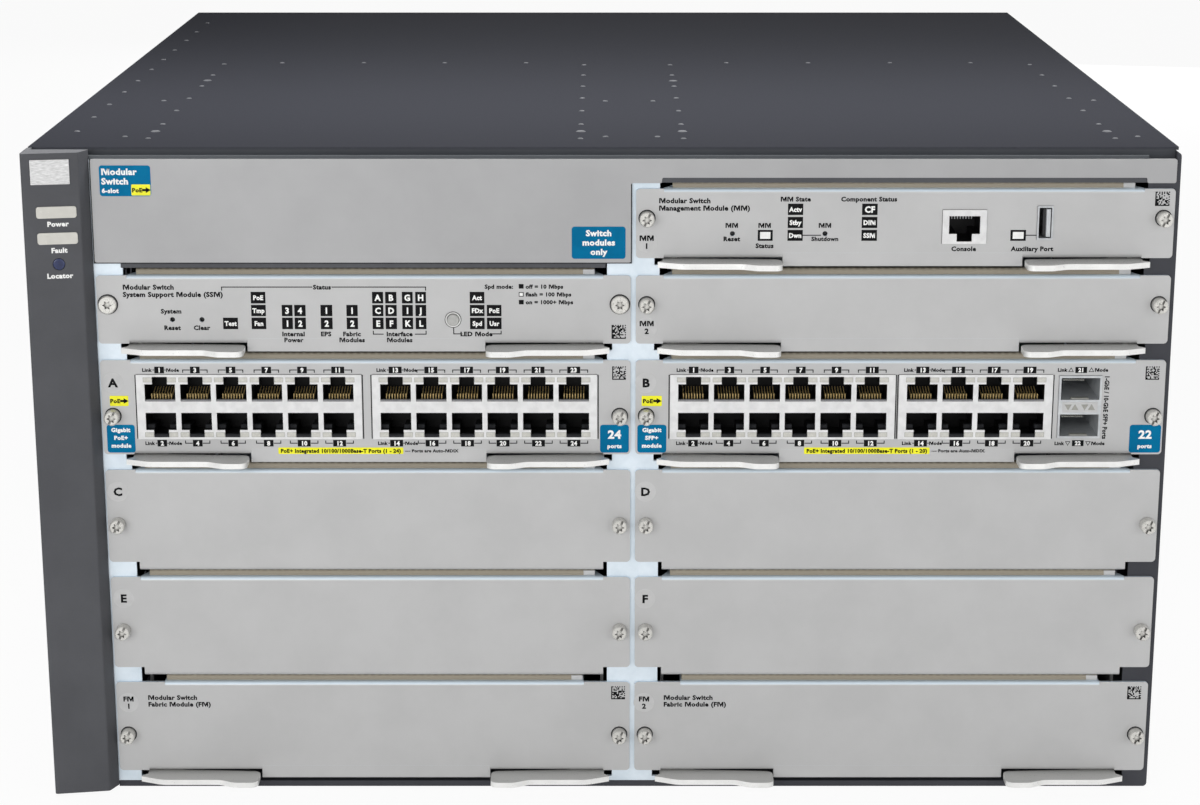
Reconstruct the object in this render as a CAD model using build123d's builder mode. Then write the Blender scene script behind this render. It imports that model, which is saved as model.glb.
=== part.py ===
from build123d import *
from math import hypot
import os

# Rack-mount modular network switch: a steel chassis whose front slots hold
# modules that slide out, with fans and power supplies that slide out behind.
# X is to the right seen from the front, Y to the rear, Z up, all in mm.
# The origin is the middle of the chassis floor's underside.

# Chassis
chassis_width = 444.5
chassis_depth = 457.0  # from the faces of the modules to the rear wall
chassis_height = 263.0
sheet = 1.2
sheet_bend = 1.6  # outer radius of a bend
seam_flange = 12.0  # folded edges that the cover sits on
floor_hem = 2.4  # front edge of the floor, folded double
cover_setback = 5.7
cover_lip = 4.4
vent_width = 4.0
vent_height = 28.0
vent_pitch = 13.0
vent_columns = 12
vent_y = 150.0  # middle of the side vents behind the plates

# Slots and module plates
plate_side_gap = 1.8  # plates to the right side of the chassis
plate_bezel_gap = 0.85
plate_gap = 2.0  # between the left and right plates
plate_sheet = 1.2
plate_corner = 1.5
plate_bend = 1.6
slot_floor = 7.5  # underside of the lowest module
slot_pitch = 44.7
plate_height = 38.3
low_plate_height = 27.2  # support and management modules
low_slot_floor = 186.6
low_slot_pitch = 34.1
post_half_width = 10.2
ear_lap = 9.8  # end of a plate in front of a post
body_clearance = 1.5
lip_depth = 12.0
tray_wall = 8.0
module_reach = 244.0
blank_reach = 60.0
cover_drop = 3.6  # blank covers reach below their ears
lip_chamfer = 5.0  # ends of the folded lips slope back
case_notch = 7.8  # top corners of the fabric modules stay unfolded

# Card cage
fascia_foot = 218.9
strip_gap = 2.2  # between the top module and the fascia's strip
strip_notch = 2.1
frame_sheet = 1.5
head_clearance = 0.4
post_foot = 2.6  # lower end of the posts
partition_gap = 3.0
rail_sheet = 1.5
rail_overlap = 5.0  # rail under the edge of a tray
rail_gap = 0.1
rail_start = 16.0
rail_length = 226.0
backplane_reach = 262.0  # front face of the backplane behind the plates
backplane_thickness = 3.0
header_width = 60.0
header_height = 10.0
header_depth = 6.0
mating_gap = 0.3

# Ejector levers, measured from the pivot
lever_thickness = 2.2
lever_drop = 0.5  # lever's top under the floor of its module
pivot_setback = 3.6  # pivot behind the face of the plate
pivot_from_end = 6.5
pivot_to_tip = 41.5
lever_reach = 9.0  # arm in front of the plate
tip_reach = 12.0
tip_length = 9.5
step_length = 6.0
nose_reach = 5.3
nose_slant = 9.0  # run over which the nose falls back from the arm
nose_curve = 12.0
nose_thickness = 0.6
nose_overlap = 0.9  # nose in front of the post
throat_x = 4.2  # hollow behind the nose that clears the post as the lever opens
throat_y = 6.0
eye_radius = 4.6
notch_clearance = 0.3
rivet_radius = 1.5
rivet_head_radius = 2.0
rivet_head = 0.8
running_gap = 0.05
lever_play = 0.1

# Captive screws
screw_inset = 4.2
screw_drop = 3.4  # screw below the middle of a tall plate
low_screw_rise = 2.1  # screw above the middle of a low plate
knob_radius = 2.9
knob_height = 5.0
pan_radius = 3.6
pan_height = 2.0
shank_radius = 1.5
shank_length = 7.0
screw_clearance = 0.2
slot_width = 0.9
slot_depth = 1.2
slot_turn = 65.0
star_radius = 1.9

# Boards, jacks and buttons
board_thickness = 1.6
board_inset = 4.6  # edge of a board inside the body
board_start = 4.0
board_length = 238.0
boss_radius = 3.0
boss_inset = 8.0
jack_pitch = 14.0
jack_height = 26.2
jack_depth = 24.0
jack_margin = 2.2
jack_stand = 0.6  # jacks in front of the plate
socket_width = 12.0
socket_height = 7.0
socket_middle = 5.8  # from the middle of a jack block
socket_depth = 16.0
key_width = 5.9
key_height = 3.0
window_clearance = 0.1
jack_rise = 19.4  # middle of the jacks above the module's underside
console_width = 17.1
console_height = 13.3
console_rise = 12.35
usb_width = 6.1
usb_height = 13.2
usb_rise = 13.9
usb_shell = 0.6
usb_depth = 14.0
cage_width = 16.8
cage_height = 25.3
cage_wall = 0.8
cage_depth = 48.0
cage_opening = 8.9
pinhole_radius = 1.0
pin_button_radius = 1.3
pin_button_rise = 9.6  # above the underside of a low module
mode_button_radius = 2.3
mode_button_stand = 1.2
button_setback = 2.6
button_length = 6.0
holder_depth = 10.0
holder_wall = 1.4

# Side bezel
bezel_width = 24.25
bezel_left_reach = 9.5  # in front of the plates
bezel_right_reach = 6.0
bezel_return = 2.6
bezel_wall = 2.0
bezel_foot = 1.0
bezel_skirt = 12.0
bezel_corner = 1.2
lens_width = 15.4
lens_height = 4.7
lens_flange = 1.0
lens_proud = 0.2
lens_rim = 1.0
locator_radius = 2.4
power_lens_z = 240.1
fault_lens_z = 229.9
locator_z = 219.8

# Rear bay
psu_side_room = 27.25  # supply's width below half of the chassis
psu_height = 86.0
psu_depth = 184.0
psu_gap = 9.0
psu_runner = 6.0
bay_gap = 0.3
shelf_height = 98.5
cartridge_sheet = 1.2
rear_plate = 1.5
flange_overlap = 3.0
grille_pitch = 10.0
inlet_width = 24.0
inlet_height = 16.5
inlet_depth = 16.0
fan_side_room = 24.25
fan_tray_height = 150.0
fan_tray_depth = 62.0
fan_closing = 8.0  # fans nearer than half of the tray
fan_bore = 58.0
fan_wall = 2.5
duct_length = 38.0
blade_clearance = 2.0
hub_radius = 21.0
hub_depth = 26.0
hub_wall = 2.0
hub_gap = 3.0
axle_radius = 3.0
guard_wire = 2.0
guard_pitch = 10.0
handle_radius = 2.5
handle_stand = 22.0

# Fastening points for a stranger's parts
bracket_hole_radius = 2.0
bracket_spacing_y = 30.0
bracket_spacing_z = 150.0
bracket_y = 50.0  # middle of the pattern behind the plates
bracket_z = 131.5
ground_hole_radius = 2.1
ground_spacing = 15.9

# Places worked out from the sizes above
front = -chassis_depth / 2  # face of the module plates
rear = chassis_depth / 2
left = -chassis_width / 2
right = chassis_width / 2
cover_underside = chassis_height - sheet
centre_x = (bezel_width + plate_bezel_gap - plate_side_gap) / 2  # middle of the centre post
plate_width = (
    chassis_width - bezel_width - plate_bezel_gap - plate_side_gap - plate_gap
) / 2
opening_width = plate_width - 2 * ear_lap  # between two posts
psu_width = chassis_width / 2 - psu_side_room
psu_spacing = psu_width + psu_gap
fan_tray_width = chassis_width - 2 * fan_side_room
fan_spacing = fan_tray_width / 2 - fan_closing
frame_y = front + plate_sheet
cage_y = frame_y + frame_sheet
bulkhead_y = front + backplane_reach + backplane_thickness
body_width = opening_width - 2 * body_clearance
board_width = body_width - 2 * board_inset
body_offset = post_half_width + opening_width / 2
plate_offset = (plate_gap + plate_width) / 2
outer_post_edge = post_half_width + opening_width  # from centre_x
partition_offset = outer_post_edge + partition_gap
tall_boss = jack_rise - jack_height / 2 - board_thickness - plate_sheet
low_boss = console_rise - console_height / 2 - board_thickness - plate_sheet
lever_underside = lever_drop + lever_thickness
throat_radius = hypot(throat_x, throat_y)
notch_depth = throat_radius + notch_clearance - (pivot_from_end - nose_overlap)
bezel_right = left + bezel_width
bezel_corner_x = bezel_right - bezel_return
psu_floor = sheet + psu_runner + bay_gap
fan_tray_floor = shelf_height + sheet + bay_gap
fan_z = fan_tray_floor + fan_tray_height / 2

# Modules by column (-1 left, 1 right), underside and plate height
line_a_floor = slot_floor + 3 * slot_pitch
management_1_floor = low_slot_floor + low_slot_pitch
tall_floors = [slot_floor + row * slot_pitch for row in range(4)]
lever_slots = [
    (-1, slot_floor),
    (1, slot_floor),
    (-1, line_a_floor),
    (1, line_a_floor),
    (-1, low_slot_floor),
    (1, low_slot_floor),
    (1, management_1_floor),
]
rail_slots = [(side, floor) for side in (-1, 1) for floor in tall_floors]
rail_slots += [(-1, low_slot_floor), (1, low_slot_floor), (1, management_1_floor)]
tall_screw_rise = plate_height / 2 - screw_drop
low_screw_height = low_plate_height / 2 + low_screw_rise
screw_places = [(side, floor + tall_screw_rise) for side in (-1, 1) for floor in tall_floors]
screw_places += [
    (-1, low_slot_floor + low_screw_height),
    (1, low_slot_floor + low_screw_height),
    (1, management_1_floor + low_screw_height),
]

os.makedirs("parts", exist_ok=True)


def facing(y):
    # Plane seen from the front: X to the right and Z up, negative amounts go rearwards
    return Plane.XZ.offset(-y)


def body_x(side):
    return centre_x + side * body_offset


def plate_x(side):
    return centre_x + side * plate_offset


def screw_xs(side):
    reach = plate_width / 2 - screw_inset
    return (plate_x(side) - reach, plate_x(side) + reach)


def pivot_xs(side):
    # Left and right pivots of the module in this column
    near = centre_x + side * (post_half_width + pivot_from_end - nose_overlap)
    far = centre_x + side * (outer_post_edge - pivot_from_end + nose_overlap)
    return (min(near, far), max(near, far))


def folded_section(points, radius, thickness):
    with BuildSketch() as section:
        with BuildLine():
            FilletPolyline(*points, radius=radius)
            offset(amount=thickness, side=Side.LEFT)
        make_face()
    return section.sketch


# Chassis: folded floor and walls, card cage partitions, bulkhead and rear wall
with BuildPart() as chassis_shell:
    with BuildSketch(facing(rear)):
        add(
            folded_section(
                [
                    (left + seam_flange, cover_underside),
                    (left, cover_underside),
                    (left, 0),
                    (right, 0),
                    (right, cover_underside),
                    (right - seam_flange, cover_underside),
                ],
                sheet_bend,
                sheet,
            )
        )
    extrude(amount=rear - frame_y)
    # The front corner gives way to the bezel
    with BuildSketch(Plane.XY) as corner:
        with Locations((left, frame_y)):
            Rectangle(bezel_width, bezel_skirt - plate_sheet, align=(Align.MIN, Align.MIN))
    extrude(amount=chassis_height, mode=Mode.SUBTRACT)
    # Rear wall with the fan and power supply bays
    with BuildSketch(facing(rear)):
        with Locations((0, sheet / 2)):
            Rectangle(
                chassis_width - sheet, cover_underside - sheet, align=(Align.CENTER, Align.MIN)
            )
        with Locations((0, fan_tray_floor - bay_gap)):
            Rectangle(
                fan_tray_width + 2 * bay_gap,
                fan_tray_height + 2 * bay_gap,
                align=(Align.CENTER, Align.MIN),
                mode=Mode.SUBTRACT,
            )
        with Locations((-psu_spacing / 2, psu_floor - bay_gap), (psu_spacing / 2, psu_floor - bay_gap)):
            Rectangle(
                psu_width + 2 * bay_gap,
                psu_height + 2 * bay_gap,
                align=(Align.CENTER, Align.MIN),
                mode=Mode.SUBTRACT,
            )
        with Locations((right - seam_flange, cover_underside / 2)):
            with GridLocations(0, ground_spacing, 1, 2):
                Circle(ground_hole_radius, mode=Mode.SUBTRACT)
    extrude(amount=sheet)
    # Right post: the wall's front flange, and the doubled front edge of the floor
    with BuildSketch(facing(frame_y)) as right_post:
        with Locations((centre_x + outer_post_edge, sheet / 2)):
            Rectangle(
                right - sheet / 2 - centre_x - outer_post_edge,
                cover_underside - cover_lip,
                align=(Align.MIN, Align.MIN),
            )
        with Locations(*[(centre_x + outer_post_edge, floor) for side, floor in lever_slots]):
            Rectangle(
                notch_depth,
                lever_underside + notch_clearance,
                align=(Align.MIN, Align.MAX),
                mode=Mode.SUBTRACT,
            )
        with Locations(*[(screw_xs(1)[1], height) for side, height in screw_places if side > 0]):
            Circle(shank_radius + screw_clearance, mode=Mode.SUBTRACT)
    extrude(amount=-sheet)
    with BuildSketch(facing(frame_y)):
        with Locations((bezel_right, 0)):
            Rectangle(right - sheet - bezel_right, floor_hem, align=(Align.MIN, Align.MIN))
    extrude(amount=-seam_flange)
    # Partitions of the card cage, left and centre, and the bulkhead behind it
    cage_length = bulkhead_y - cage_y
    with BuildSketch(Plane.YZ.offset(centre_x - partition_offset - sheet)):
        with Locations((cage_y, sheet / 2)):
            Rectangle(cage_length, cover_underside - sheet, align=(Align.MIN, Align.MIN))
        with Locations((cage_y + cage_length / 2, slot_floor + 2 * slot_pitch + plate_height / 2)):
            with GridLocations(cage_length / 5, slot_pitch, 5, 5):
                Rectangle(cage_length / 7, plate_height / 2, mode=Mode.SUBTRACT)
    extrude(amount=sheet)
    with BuildSketch(Plane.YZ.offset(centre_x - sheet / 2)):
        with Locations((cage_y, sheet / 2)):
            Rectangle(cage_length, cover_underside - sheet, align=(Align.MIN, Align.MIN))
    extrude(amount=sheet)
    with BuildSketch(facing(bulkhead_y)):
        with Locations((0, sheet / 2)):
            Rectangle(
                chassis_width - sheet, cover_underside - sheet, align=(Align.CENTER, Align.MIN)
            )
        with Locations((-psu_spacing / 2, psu_floor), (psu_spacing / 2, psu_floor)):
            Rectangle(
                psu_width - seam_flange,
                psu_height,
                align=(Align.CENTER, Align.MIN),
                mode=Mode.SUBTRACT,
            )
        with Locations((0, fan_z)):
            Rectangle(fan_tray_width, fan_tray_height - seam_flange, mode=Mode.SUBTRACT)
    extrude(amount=-sheet)
    # Room for the cover's folded front edge
    with BuildSketch(facing(frame_y)):
        with Locations((0, cover_underside)):
            Rectangle(chassis_width - 2 * sheet, 2 * cover_lip)
    extrude(amount=-(cover_setback + sheet_bend), mode=Mode.SUBTRACT)
    # Guide rails under both edges of every tray
    rail_edge = body_offset + body_width / 2 - rail_overlap
    inner_rail_edge = body_offset - body_width / 2 + rail_overlap
    with BuildSketch(facing(front + rail_start)):
        for side, floor in rail_slots:
            wall = partition_offset if side < 0 else right - sheet / 2 - centre_x
            with Locations((centre_x + side * (rail_edge + wall) / 2, floor - rail_gap)):
                Rectangle(wall - rail_edge, rail_sheet, align=(Align.CENTER, Align.MAX))
            with Locations((centre_x + side * inner_rail_edge / 2, floor - rail_gap)):
                Rectangle(inner_rail_edge, rail_sheet, align=(Align.CENTER, Align.MAX))
    extrude(amount=-rail_length)
    # Shelf under the fan tray, and runners under the power supplies
    with BuildSketch(facing(rear)):
        with Locations((0, shelf_height)):
            Rectangle(chassis_width - sheet, sheet, align=(Align.CENTER, Align.MIN))
        with Locations((-psu_spacing / 2, sheet / 2), (psu_spacing / 2, sheet / 2)):
            with GridLocations(psu_width - seam_flange, 0, 2, 1):
                Rectangle(
                    seam_flange / 2, psu_runner + sheet / 2, align=(Align.CENTER, Align.MIN)
                )
    extrude(amount=rear - bulkhead_y)
    # Side vents, and the holes for rack brackets
    with BuildSketch(Plane.YZ.offset(left - sheet)):
        with Locations((front + vent_y, slot_floor + 1.5 * slot_pitch + plate_height / 2)):
            with GridLocations(vent_pitch, slot_pitch, vent_columns, 4):
                Rectangle(vent_width, vent_height)
        with Locations((front + bracket_y, bracket_z)):
            with GridLocations(bracket_spacing_y, bracket_spacing_z, 2, 2):
                Circle(bracket_hole_radius)
    extrude(amount=3 * sheet, mode=Mode.SUBTRACT)
    with BuildSketch(Plane.YZ.offset(right + sheet)):
        with Locations((front + vent_y, slot_floor + 1.5 * slot_pitch + plate_height / 2)):
            with GridLocations(vent_pitch, slot_pitch, vent_columns, 4):
                Rectangle(vent_width, vent_height)
        with Locations((front + bracket_y, bracket_z)):
            with GridLocations(bracket_spacing_y, bracket_spacing_z, 2, 2):
                Circle(bracket_hole_radius)
    extrude(amount=-3 * sheet, mode=Mode.SUBTRACT)
chassis_shell.part.label = "chassis_shell"
export_step(chassis_shell.part, "parts/chassis_shell.step")

# Top cover, its front edge folded down between the side walls
with BuildPart() as top_cover:
    with BuildSketch(Plane.YZ.offset(left + bezel_wall + bay_gap)):
        add(
            folded_section(
                [
                    (rear, chassis_height),
                    (front + cover_setback, chassis_height),
                    (front + cover_setback, chassis_height - cover_lip),
                ],
                sheet_bend,
                sheet,
            )
        )
    extrude(amount=chassis_width - bezel_wall - sheet - 2 * bay_gap)
    with BuildSketch(Plane.XY.offset(cover_underside)):
        with Locations((0, front + cover_setback + sheet_bend)):
            Rectangle(
                chassis_width,
                chassis_depth - cover_setback - sheet_bend,
                align=(Align.CENTER, Align.MIN),
            )
    extrude(amount=sheet)
top_cover.part.label = "top_cover"
export_step(top_cover.part, "parts/top_cover.step")

# Front frame: left and centre posts hanging from the panel behind the fascia
frame_top = cover_underside - sheet
frame_left = left + bezel_wall + bay_gap
frame_right = centre_x + outer_post_edge - bay_gap
left_head = fascia_foot + head_clearance
right_head = management_1_floor + low_plate_height + strip_gap + strip_notch + head_clearance
with BuildPart() as front_frame:
    with BuildSketch(facing(frame_y)) as frame_outline:
        with Locations((frame_left, post_foot)):
            Rectangle(
                centre_x - outer_post_edge - frame_left,
                frame_top - post_foot,
                align=(Align.MIN, Align.MIN),
            )
        with Locations((centre_x, post_foot)):
            Rectangle(2 * post_half_width, frame_top - post_foot, align=(Align.CENTER, Align.MIN))
        foot_corners = frame_outline.vertices().group_by(Axis.Y)[0]
        fillet(foot_corners, radius=plate_corner)
        with Locations((frame_left, left_head)):
            Rectangle(centre_x - frame_left, frame_top - left_head, align=(Align.MIN, Align.MIN))
        with Locations((centre_x, right_head)):
            Rectangle(frame_right - centre_x, frame_top - right_head, align=(Align.MIN, Align.MIN))
        for side, floor in lever_slots:
            near = centre_x + side * post_half_width
            outward = Align.MAX if side > 0 else Align.MIN
            with Locations((near, floor)):
                Rectangle(
                    notch_depth,
                    lever_underside + notch_clearance,
                    align=(outward, Align.MAX),
                    mode=Mode.SUBTRACT,
                )
            if side < 0:
                with Locations((centre_x - outer_post_edge, floor)):
                    Rectangle(
                        notch_depth,
                        lever_underside + notch_clearance,
                        align=(Align.MAX, Align.MAX),
                        mode=Mode.SUBTRACT,
                    )
        for side, height in screw_places:
            for x in screw_xs(side):
                if x < frame_right:
                    with Locations((x, height)):
                        Circle(shank_radius + screw_clearance, mode=Mode.SUBTRACT)
    extrude(amount=-frame_sheet)
front_frame.part.label = "front_frame"
export_step(front_frame.part, "parts/front_frame.step")

# Fascia: an L-shaped plate on the front frame, flush with the module plates
fascia_left = plate_x(-1) - plate_width / 2
fascia_right = plate_x(1) + plate_width / 2
fascia_top = frame_top - sheet
fascia_strip = management_1_floor + low_plate_height + strip_gap
fascia_notch = fascia_strip + strip_notch
fascia_inner = centre_x - plate_gap / 2
notch_left = centre_x + post_half_width + body_clearance / 2
notch_right = centre_x + outer_post_edge - body_clearance / 2
with BuildPart() as fascia_panel:
    with BuildSketch(facing(front)):
        with BuildLine():
            FilletPolyline(
                (fascia_left, fascia_foot),
                (fascia_inner, fascia_foot),
                (fascia_inner, fascia_strip),
                (notch_left, fascia_strip),
                (notch_left, fascia_notch),
                (notch_right, fascia_notch),
                (notch_right, fascia_strip),
                (fascia_right, fascia_strip),
                (fascia_right, fascia_top),
                (fascia_left, fascia_top),
                radius=plate_corner / 2,
                close=True,
            )
        make_face()
    extrude(amount=-plate_sheet)
fascia_panel.part.label = "fascia_panel"
export_step(fascia_panel.part, "parts/fascia_panel.step")

# Side bezel: a hollow moulding whose face leans towards the modules
face_run = bezel_corner_x - left
face_rise = bezel_left_reach - bezel_right_reach
face_slope = face_rise / face_run
inner_shift = bezel_wall * hypot(face_run, face_rise) / face_run
inner_left_y = front - bezel_left_reach + inner_shift + face_slope * bezel_wall
inner_right_y = front - bezel_right_reach + inner_shift - face_slope * bezel_wall
face_plane = Plane(
    origin=((left + bezel_corner_x) / 2, front - (bezel_left_reach + bezel_right_reach) / 2, 0),
    x_dir=(face_run, face_rise, 0),
    z_dir=(face_rise, -face_run, 0),
)
lens_places = [power_lens_z, fault_lens_z]
lens_shift = 1.9  # windows sit nearer the modules
with BuildPart() as side_bezel:
    with BuildSketch(Plane.XY.offset(bezel_foot)) as bezel_plan:
        with BuildLine():
            FilletPolyline(
                (left, front + bezel_skirt),
                (left, front - bezel_left_reach),
                (bezel_corner_x, front - bezel_right_reach),
                (bezel_right, front),
                (bezel_right, frame_y),
                (left + bezel_wall, frame_y),
                (left + bezel_wall, front + bezel_skirt),
                radius=(0, bezel_corner, bezel_corner, bezel_corner, 0, 0, 0),
                close=True,
            )
        make_face()
    extrude(amount=chassis_height - bezel_foot)
    with BuildSketch(Plane.XY.offset(bezel_foot + bezel_wall)):
        with BuildLine():
            Polyline(
                (left + bezel_wall, frame_y),
                (left + bezel_wall, inner_left_y),
                (bezel_corner_x - bezel_wall, inner_right_y),
                (bezel_right - bezel_wall, front),
                (bezel_right - bezel_wall, frame_y),
                close=True,
            )
        make_face()
    extrude(amount=chassis_height - bezel_foot - 2 * bezel_wall, mode=Mode.SUBTRACT)
    with BuildSketch(Plane.XY.offset(cover_underside - bay_gap)):
        with Locations((left, front + cover_setback - bay_gap)):
            Rectangle(3 * bezel_wall, 2 * bezel_skirt, align=(Align.CENTER, Align.MIN))
    extrude(amount=3 * sheet, mode=Mode.SUBTRACT)
    with BuildSketch(face_plane):
        with Locations(*[(lens_shift, z) for z in lens_places]):
            RectangleRounded(lens_width, lens_height, lens_rim)
        with Locations((lens_shift, locator_z)):
            Circle(locator_radius)
    extrude(amount=-2 * bezel_wall, mode=Mode.SUBTRACT)
side_bezel.part.label = "side_bezel"
export_step(side_bezel.part, "parts/side_bezel.step")

# Status windows: clear bars pushed in from behind up to their rims
lens_back = -bezel_wall - lens_flange
with BuildPart() as status_windows:
    with BuildSketch(face_plane.offset(lens_proud)):
        with Locations(*[(lens_shift, z) for z in lens_places]):
            RectangleRounded(
                lens_width - 2 * window_clearance, lens_height - 2 * window_clearance, lens_rim
            )
    extrude(amount=lens_back - lens_proud)
    with BuildSketch(face_plane.offset(-bezel_wall)):
        with Locations(*[(lens_shift - lens_rim, z) for z in lens_places]):
            Rectangle(lens_width, lens_height + 2 * lens_rim)
    extrude(amount=-lens_flange)
status_windows.part.label = "status_windows"
export_step(status_windows.part, "parts/status_windows.step")

with BuildPart() as locator_lens:
    with BuildSketch(face_plane.offset(lens_back)):
        with Locations((lens_shift, locator_z)):
            Circle(locator_radius + lens_rim)
    extrude(amount=lens_flange)
    with BuildSketch(face_plane.offset(lens_back)):
        with Locations((lens_shift, locator_z)):
            Circle(locator_radius - window_clearance)
    extrude(amount=bezel_wall + lens_flange + lens_proud)
    rim = locator_lens.edges().filter_by(GeomType.CIRCLE).sort_by(Axis.Y)[0]
    fillet(rim, radius=lens_rim / 2)
locator_lens.part.label = "locator_lens"
export_step(locator_lens.part, "parts/locator_lens.step")


def ejector_lever(name, x, floor, hand):
    # hand is 1 for a lever whose tip points right
    with BuildPart() as lever:
        with BuildSketch(Plane((x, front + pivot_setback, floor - lever_underside))):
            with BuildLine():
                FilletPolyline(
                    (-hand * pivot_from_end, -pivot_setback - nose_reach + nose_thickness),
                    (-hand * pivot_from_end, -pivot_setback - nose_reach),
                    (-hand * (pivot_from_end - nose_slant), -pivot_setback - lever_reach),
                    (
                        hand * (pivot_to_tip - tip_length - step_length),
                        -pivot_setback - lever_reach,
                    ),
                    (hand * (pivot_to_tip - tip_length), -pivot_setback - tip_reach),
                    (hand * pivot_to_tip, -pivot_setback - tip_reach),
                    (hand * pivot_to_tip, -pivot_setback),
                    (hand * 2 * eye_radius, -pivot_setback / 2),
                    (hand * eye_radius, eye_radius),
                    (-hand * eye_radius, eye_radius),
                    (-hand * throat_x, -throat_y),
                    radius=(0.1, 0.3, nose_curve, 6, 6, 3, 3, 4, 3, 3, 0.5),
                    close=True,
                )
            make_face()
            Circle(rivet_radius + running_gap, mode=Mode.SUBTRACT)
        extrude(amount=lever_thickness)
    lever.part.label = name
    export_step(lever.part, f"parts/{name}.step")


def fasteners(name, side, floor, screw_rise, head_radius, head_height, slotted=True):
    # Captive screws through the plate, and the stepped rivets that the levers turn on
    with BuildPart() as group:
        for x in screw_xs(side):
            with BuildSketch(facing(front)):
                with Locations((x, floor + screw_rise)):
                    Circle(head_radius)
            extrude(amount=head_height)
            with BuildSketch(facing(front)):
                with Locations((x, floor + screw_rise)):
                    Circle(shank_radius)
            extrude(amount=-shank_length)
            with BuildSketch(facing(front - head_height)):
                with Locations((x, floor + screw_rise)):
                    RegularPolygon(star_radius, 3)
                    RegularPolygon(star_radius, 3, rotation=60)
                    if slotted:
                        Rectangle(2 * head_radius, slot_width, rotation=slot_turn)
            extrude(amount=-slot_depth, mode=Mode.SUBTRACT)
        chamfer(group.edges().filter_by(GeomType.CIRCLE).group_by(Axis.Y)[0], length=0.4)
        for x in pivot_xs(side):
            with BuildSketch(Plane((x, front + pivot_setback, 0), x_dir=(1, 0, 0), z_dir=(0, -1, 0))):
                with BuildLine():
                    Polyline(
                        (0, floor - lever_underside - lever_play - rivet_head),
                        (rivet_head_radius, floor - lever_underside - lever_play - rivet_head),
                        (rivet_head_radius, floor - lever_underside - lever_play),
                        (rivet_radius, floor - lever_underside - lever_play),
                        (rivet_radius, floor - lever_drop + lever_play),
                        (rivet_head_radius, floor - lever_drop + lever_play),
                        (rivet_head_radius, floor),
                        (rivet_radius, floor),
                        (rivet_radius, floor + plate_sheet),
                        (rivet_head_radius, floor + plate_sheet),
                        (rivet_radius, floor + plate_sheet + rivet_head),
                        (0, floor + plate_sheet + rivet_head),
                        close=True,
                    )
                make_face()
            revolve(axis=Axis((x, front + pivot_setback, 0), (0, 0, 1)))
    group.part.label = name
    export_step(group.part, f"parts/{name}.step")


def module_tray(name, side, floor, height, reach, boss, screw_rise, windows, holes, closed=False):
    # Face plate, floor and top lip are one folded sheet with two flat ears
    top = floor + height
    lip = reach if closed else lip_depth
    wall = height - plate_sheet / 2 if closed else tray_wall
    with BuildPart() as tray:
        with BuildSketch(Plane.YZ.offset(body_x(side) - body_width / 2)):
            add(
                folded_section(
                    [
                        (front + lip, top),
                        (front, top),
                        (front, floor),
                        (front + reach, floor),
                    ],
                    plate_bend,
                    plate_sheet,
                )
            )
        extrude(amount=body_width)
        with BuildSketch(facing(front)):
            with Locations((plate_x(side), floor + height / 2)):
                RectangleRounded(plate_width, height, plate_corner)
            with Locations((body_x(side), floor + height / 2)):
                Rectangle(body_width, height, mode=Mode.SUBTRACT)
            with Locations(*[(x, floor + screw_rise) for x in screw_xs(side)]):
                Circle(shank_radius + screw_clearance, mode=Mode.SUBTRACT)
        extrude(amount=-plate_sheet)
        with BuildSketch(Plane.XY.offset(floor + plate_sheet / 2)):
            with Locations((body_x(side), front + lip_depth)):
                with GridLocations(body_width - plate_sheet, 0, 2, 1):
                    Rectangle(plate_sheet, reach - lip_depth, align=(Align.CENTER, Align.MIN))
        extrude(amount=wall - plate_sheet / 2)
        if boss > 0:
            with BuildSketch(Plane.XY.offset(floor + plate_sheet / 2)):
                with Locations((body_x(side), front + board_start + board_length / 2)):
                    with GridLocations(
                        board_width - 2 * boss_inset, board_length - 4 * boss_inset, 2, 2
                    ):
                        Circle(boss_radius)
            extrude(amount=plate_sheet / 2 + boss)
        # The lip's ends slope back; a closed case keeps its front corners flat instead
        if closed:
            with BuildSketch(Plane.XY.offset(top - plate_bend)):
                with Locations((body_x(side), front)):
                    with GridLocations(body_width - case_notch, 0, 2, 1):
                        Rectangle(case_notch, lip_depth, align=(Align.CENTER, Align.MIN))
            extrude(amount=plate_bend, mode=Mode.SUBTRACT)
            with BuildSketch(facing(front)):
                with Locations((body_x(side), top)):
                    with GridLocations(body_width - case_notch, 0, 2, 1):
                        Rectangle(case_notch, plate_bend, align=(Align.CENTER, Align.MAX))
            extrude(amount=-plate_sheet)
        else:
            with BuildSketch(Plane.XY.offset(top - plate_sheet)):
                for end in (-1, 1):
                    edge = body_x(side) + end * body_width / 2
                    with BuildLine():
                        Polyline(
                            (edge, front + plate_bend),
                            (edge, front + lip_depth),
                            (edge - end * lip_chamfer, front + lip_depth),
                            close=True,
                        )
                    make_face()
            extrude(amount=plate_sheet, mode=Mode.SUBTRACT)
        if windows or holes:
            with BuildSketch(facing(front - plate_sheet)):
                for x, rise, width, tall in windows:
                    with Locations((x, floor + rise)):
                        Rectangle(width + 2 * window_clearance, tall + 2 * window_clearance)
                for x, rise, radius in holes:
                    with Locations((x, floor + rise)):
                        Circle(radius)
            extrude(amount=-3 * plate_sheet, mode=Mode.SUBTRACT)
        with BuildSketch(Plane.XY.offset(floor - plate_sheet)):
            with Locations(*[(x, front + pivot_setback) for x in pivot_xs(side)]):
                Circle(rivet_radius + running_gap)
        extrude(amount=3 * plate_sheet, mode=Mode.SUBTRACT)
    tray.part.label = name
    export_step(tray.part, f"parts/{name}.step")


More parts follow.
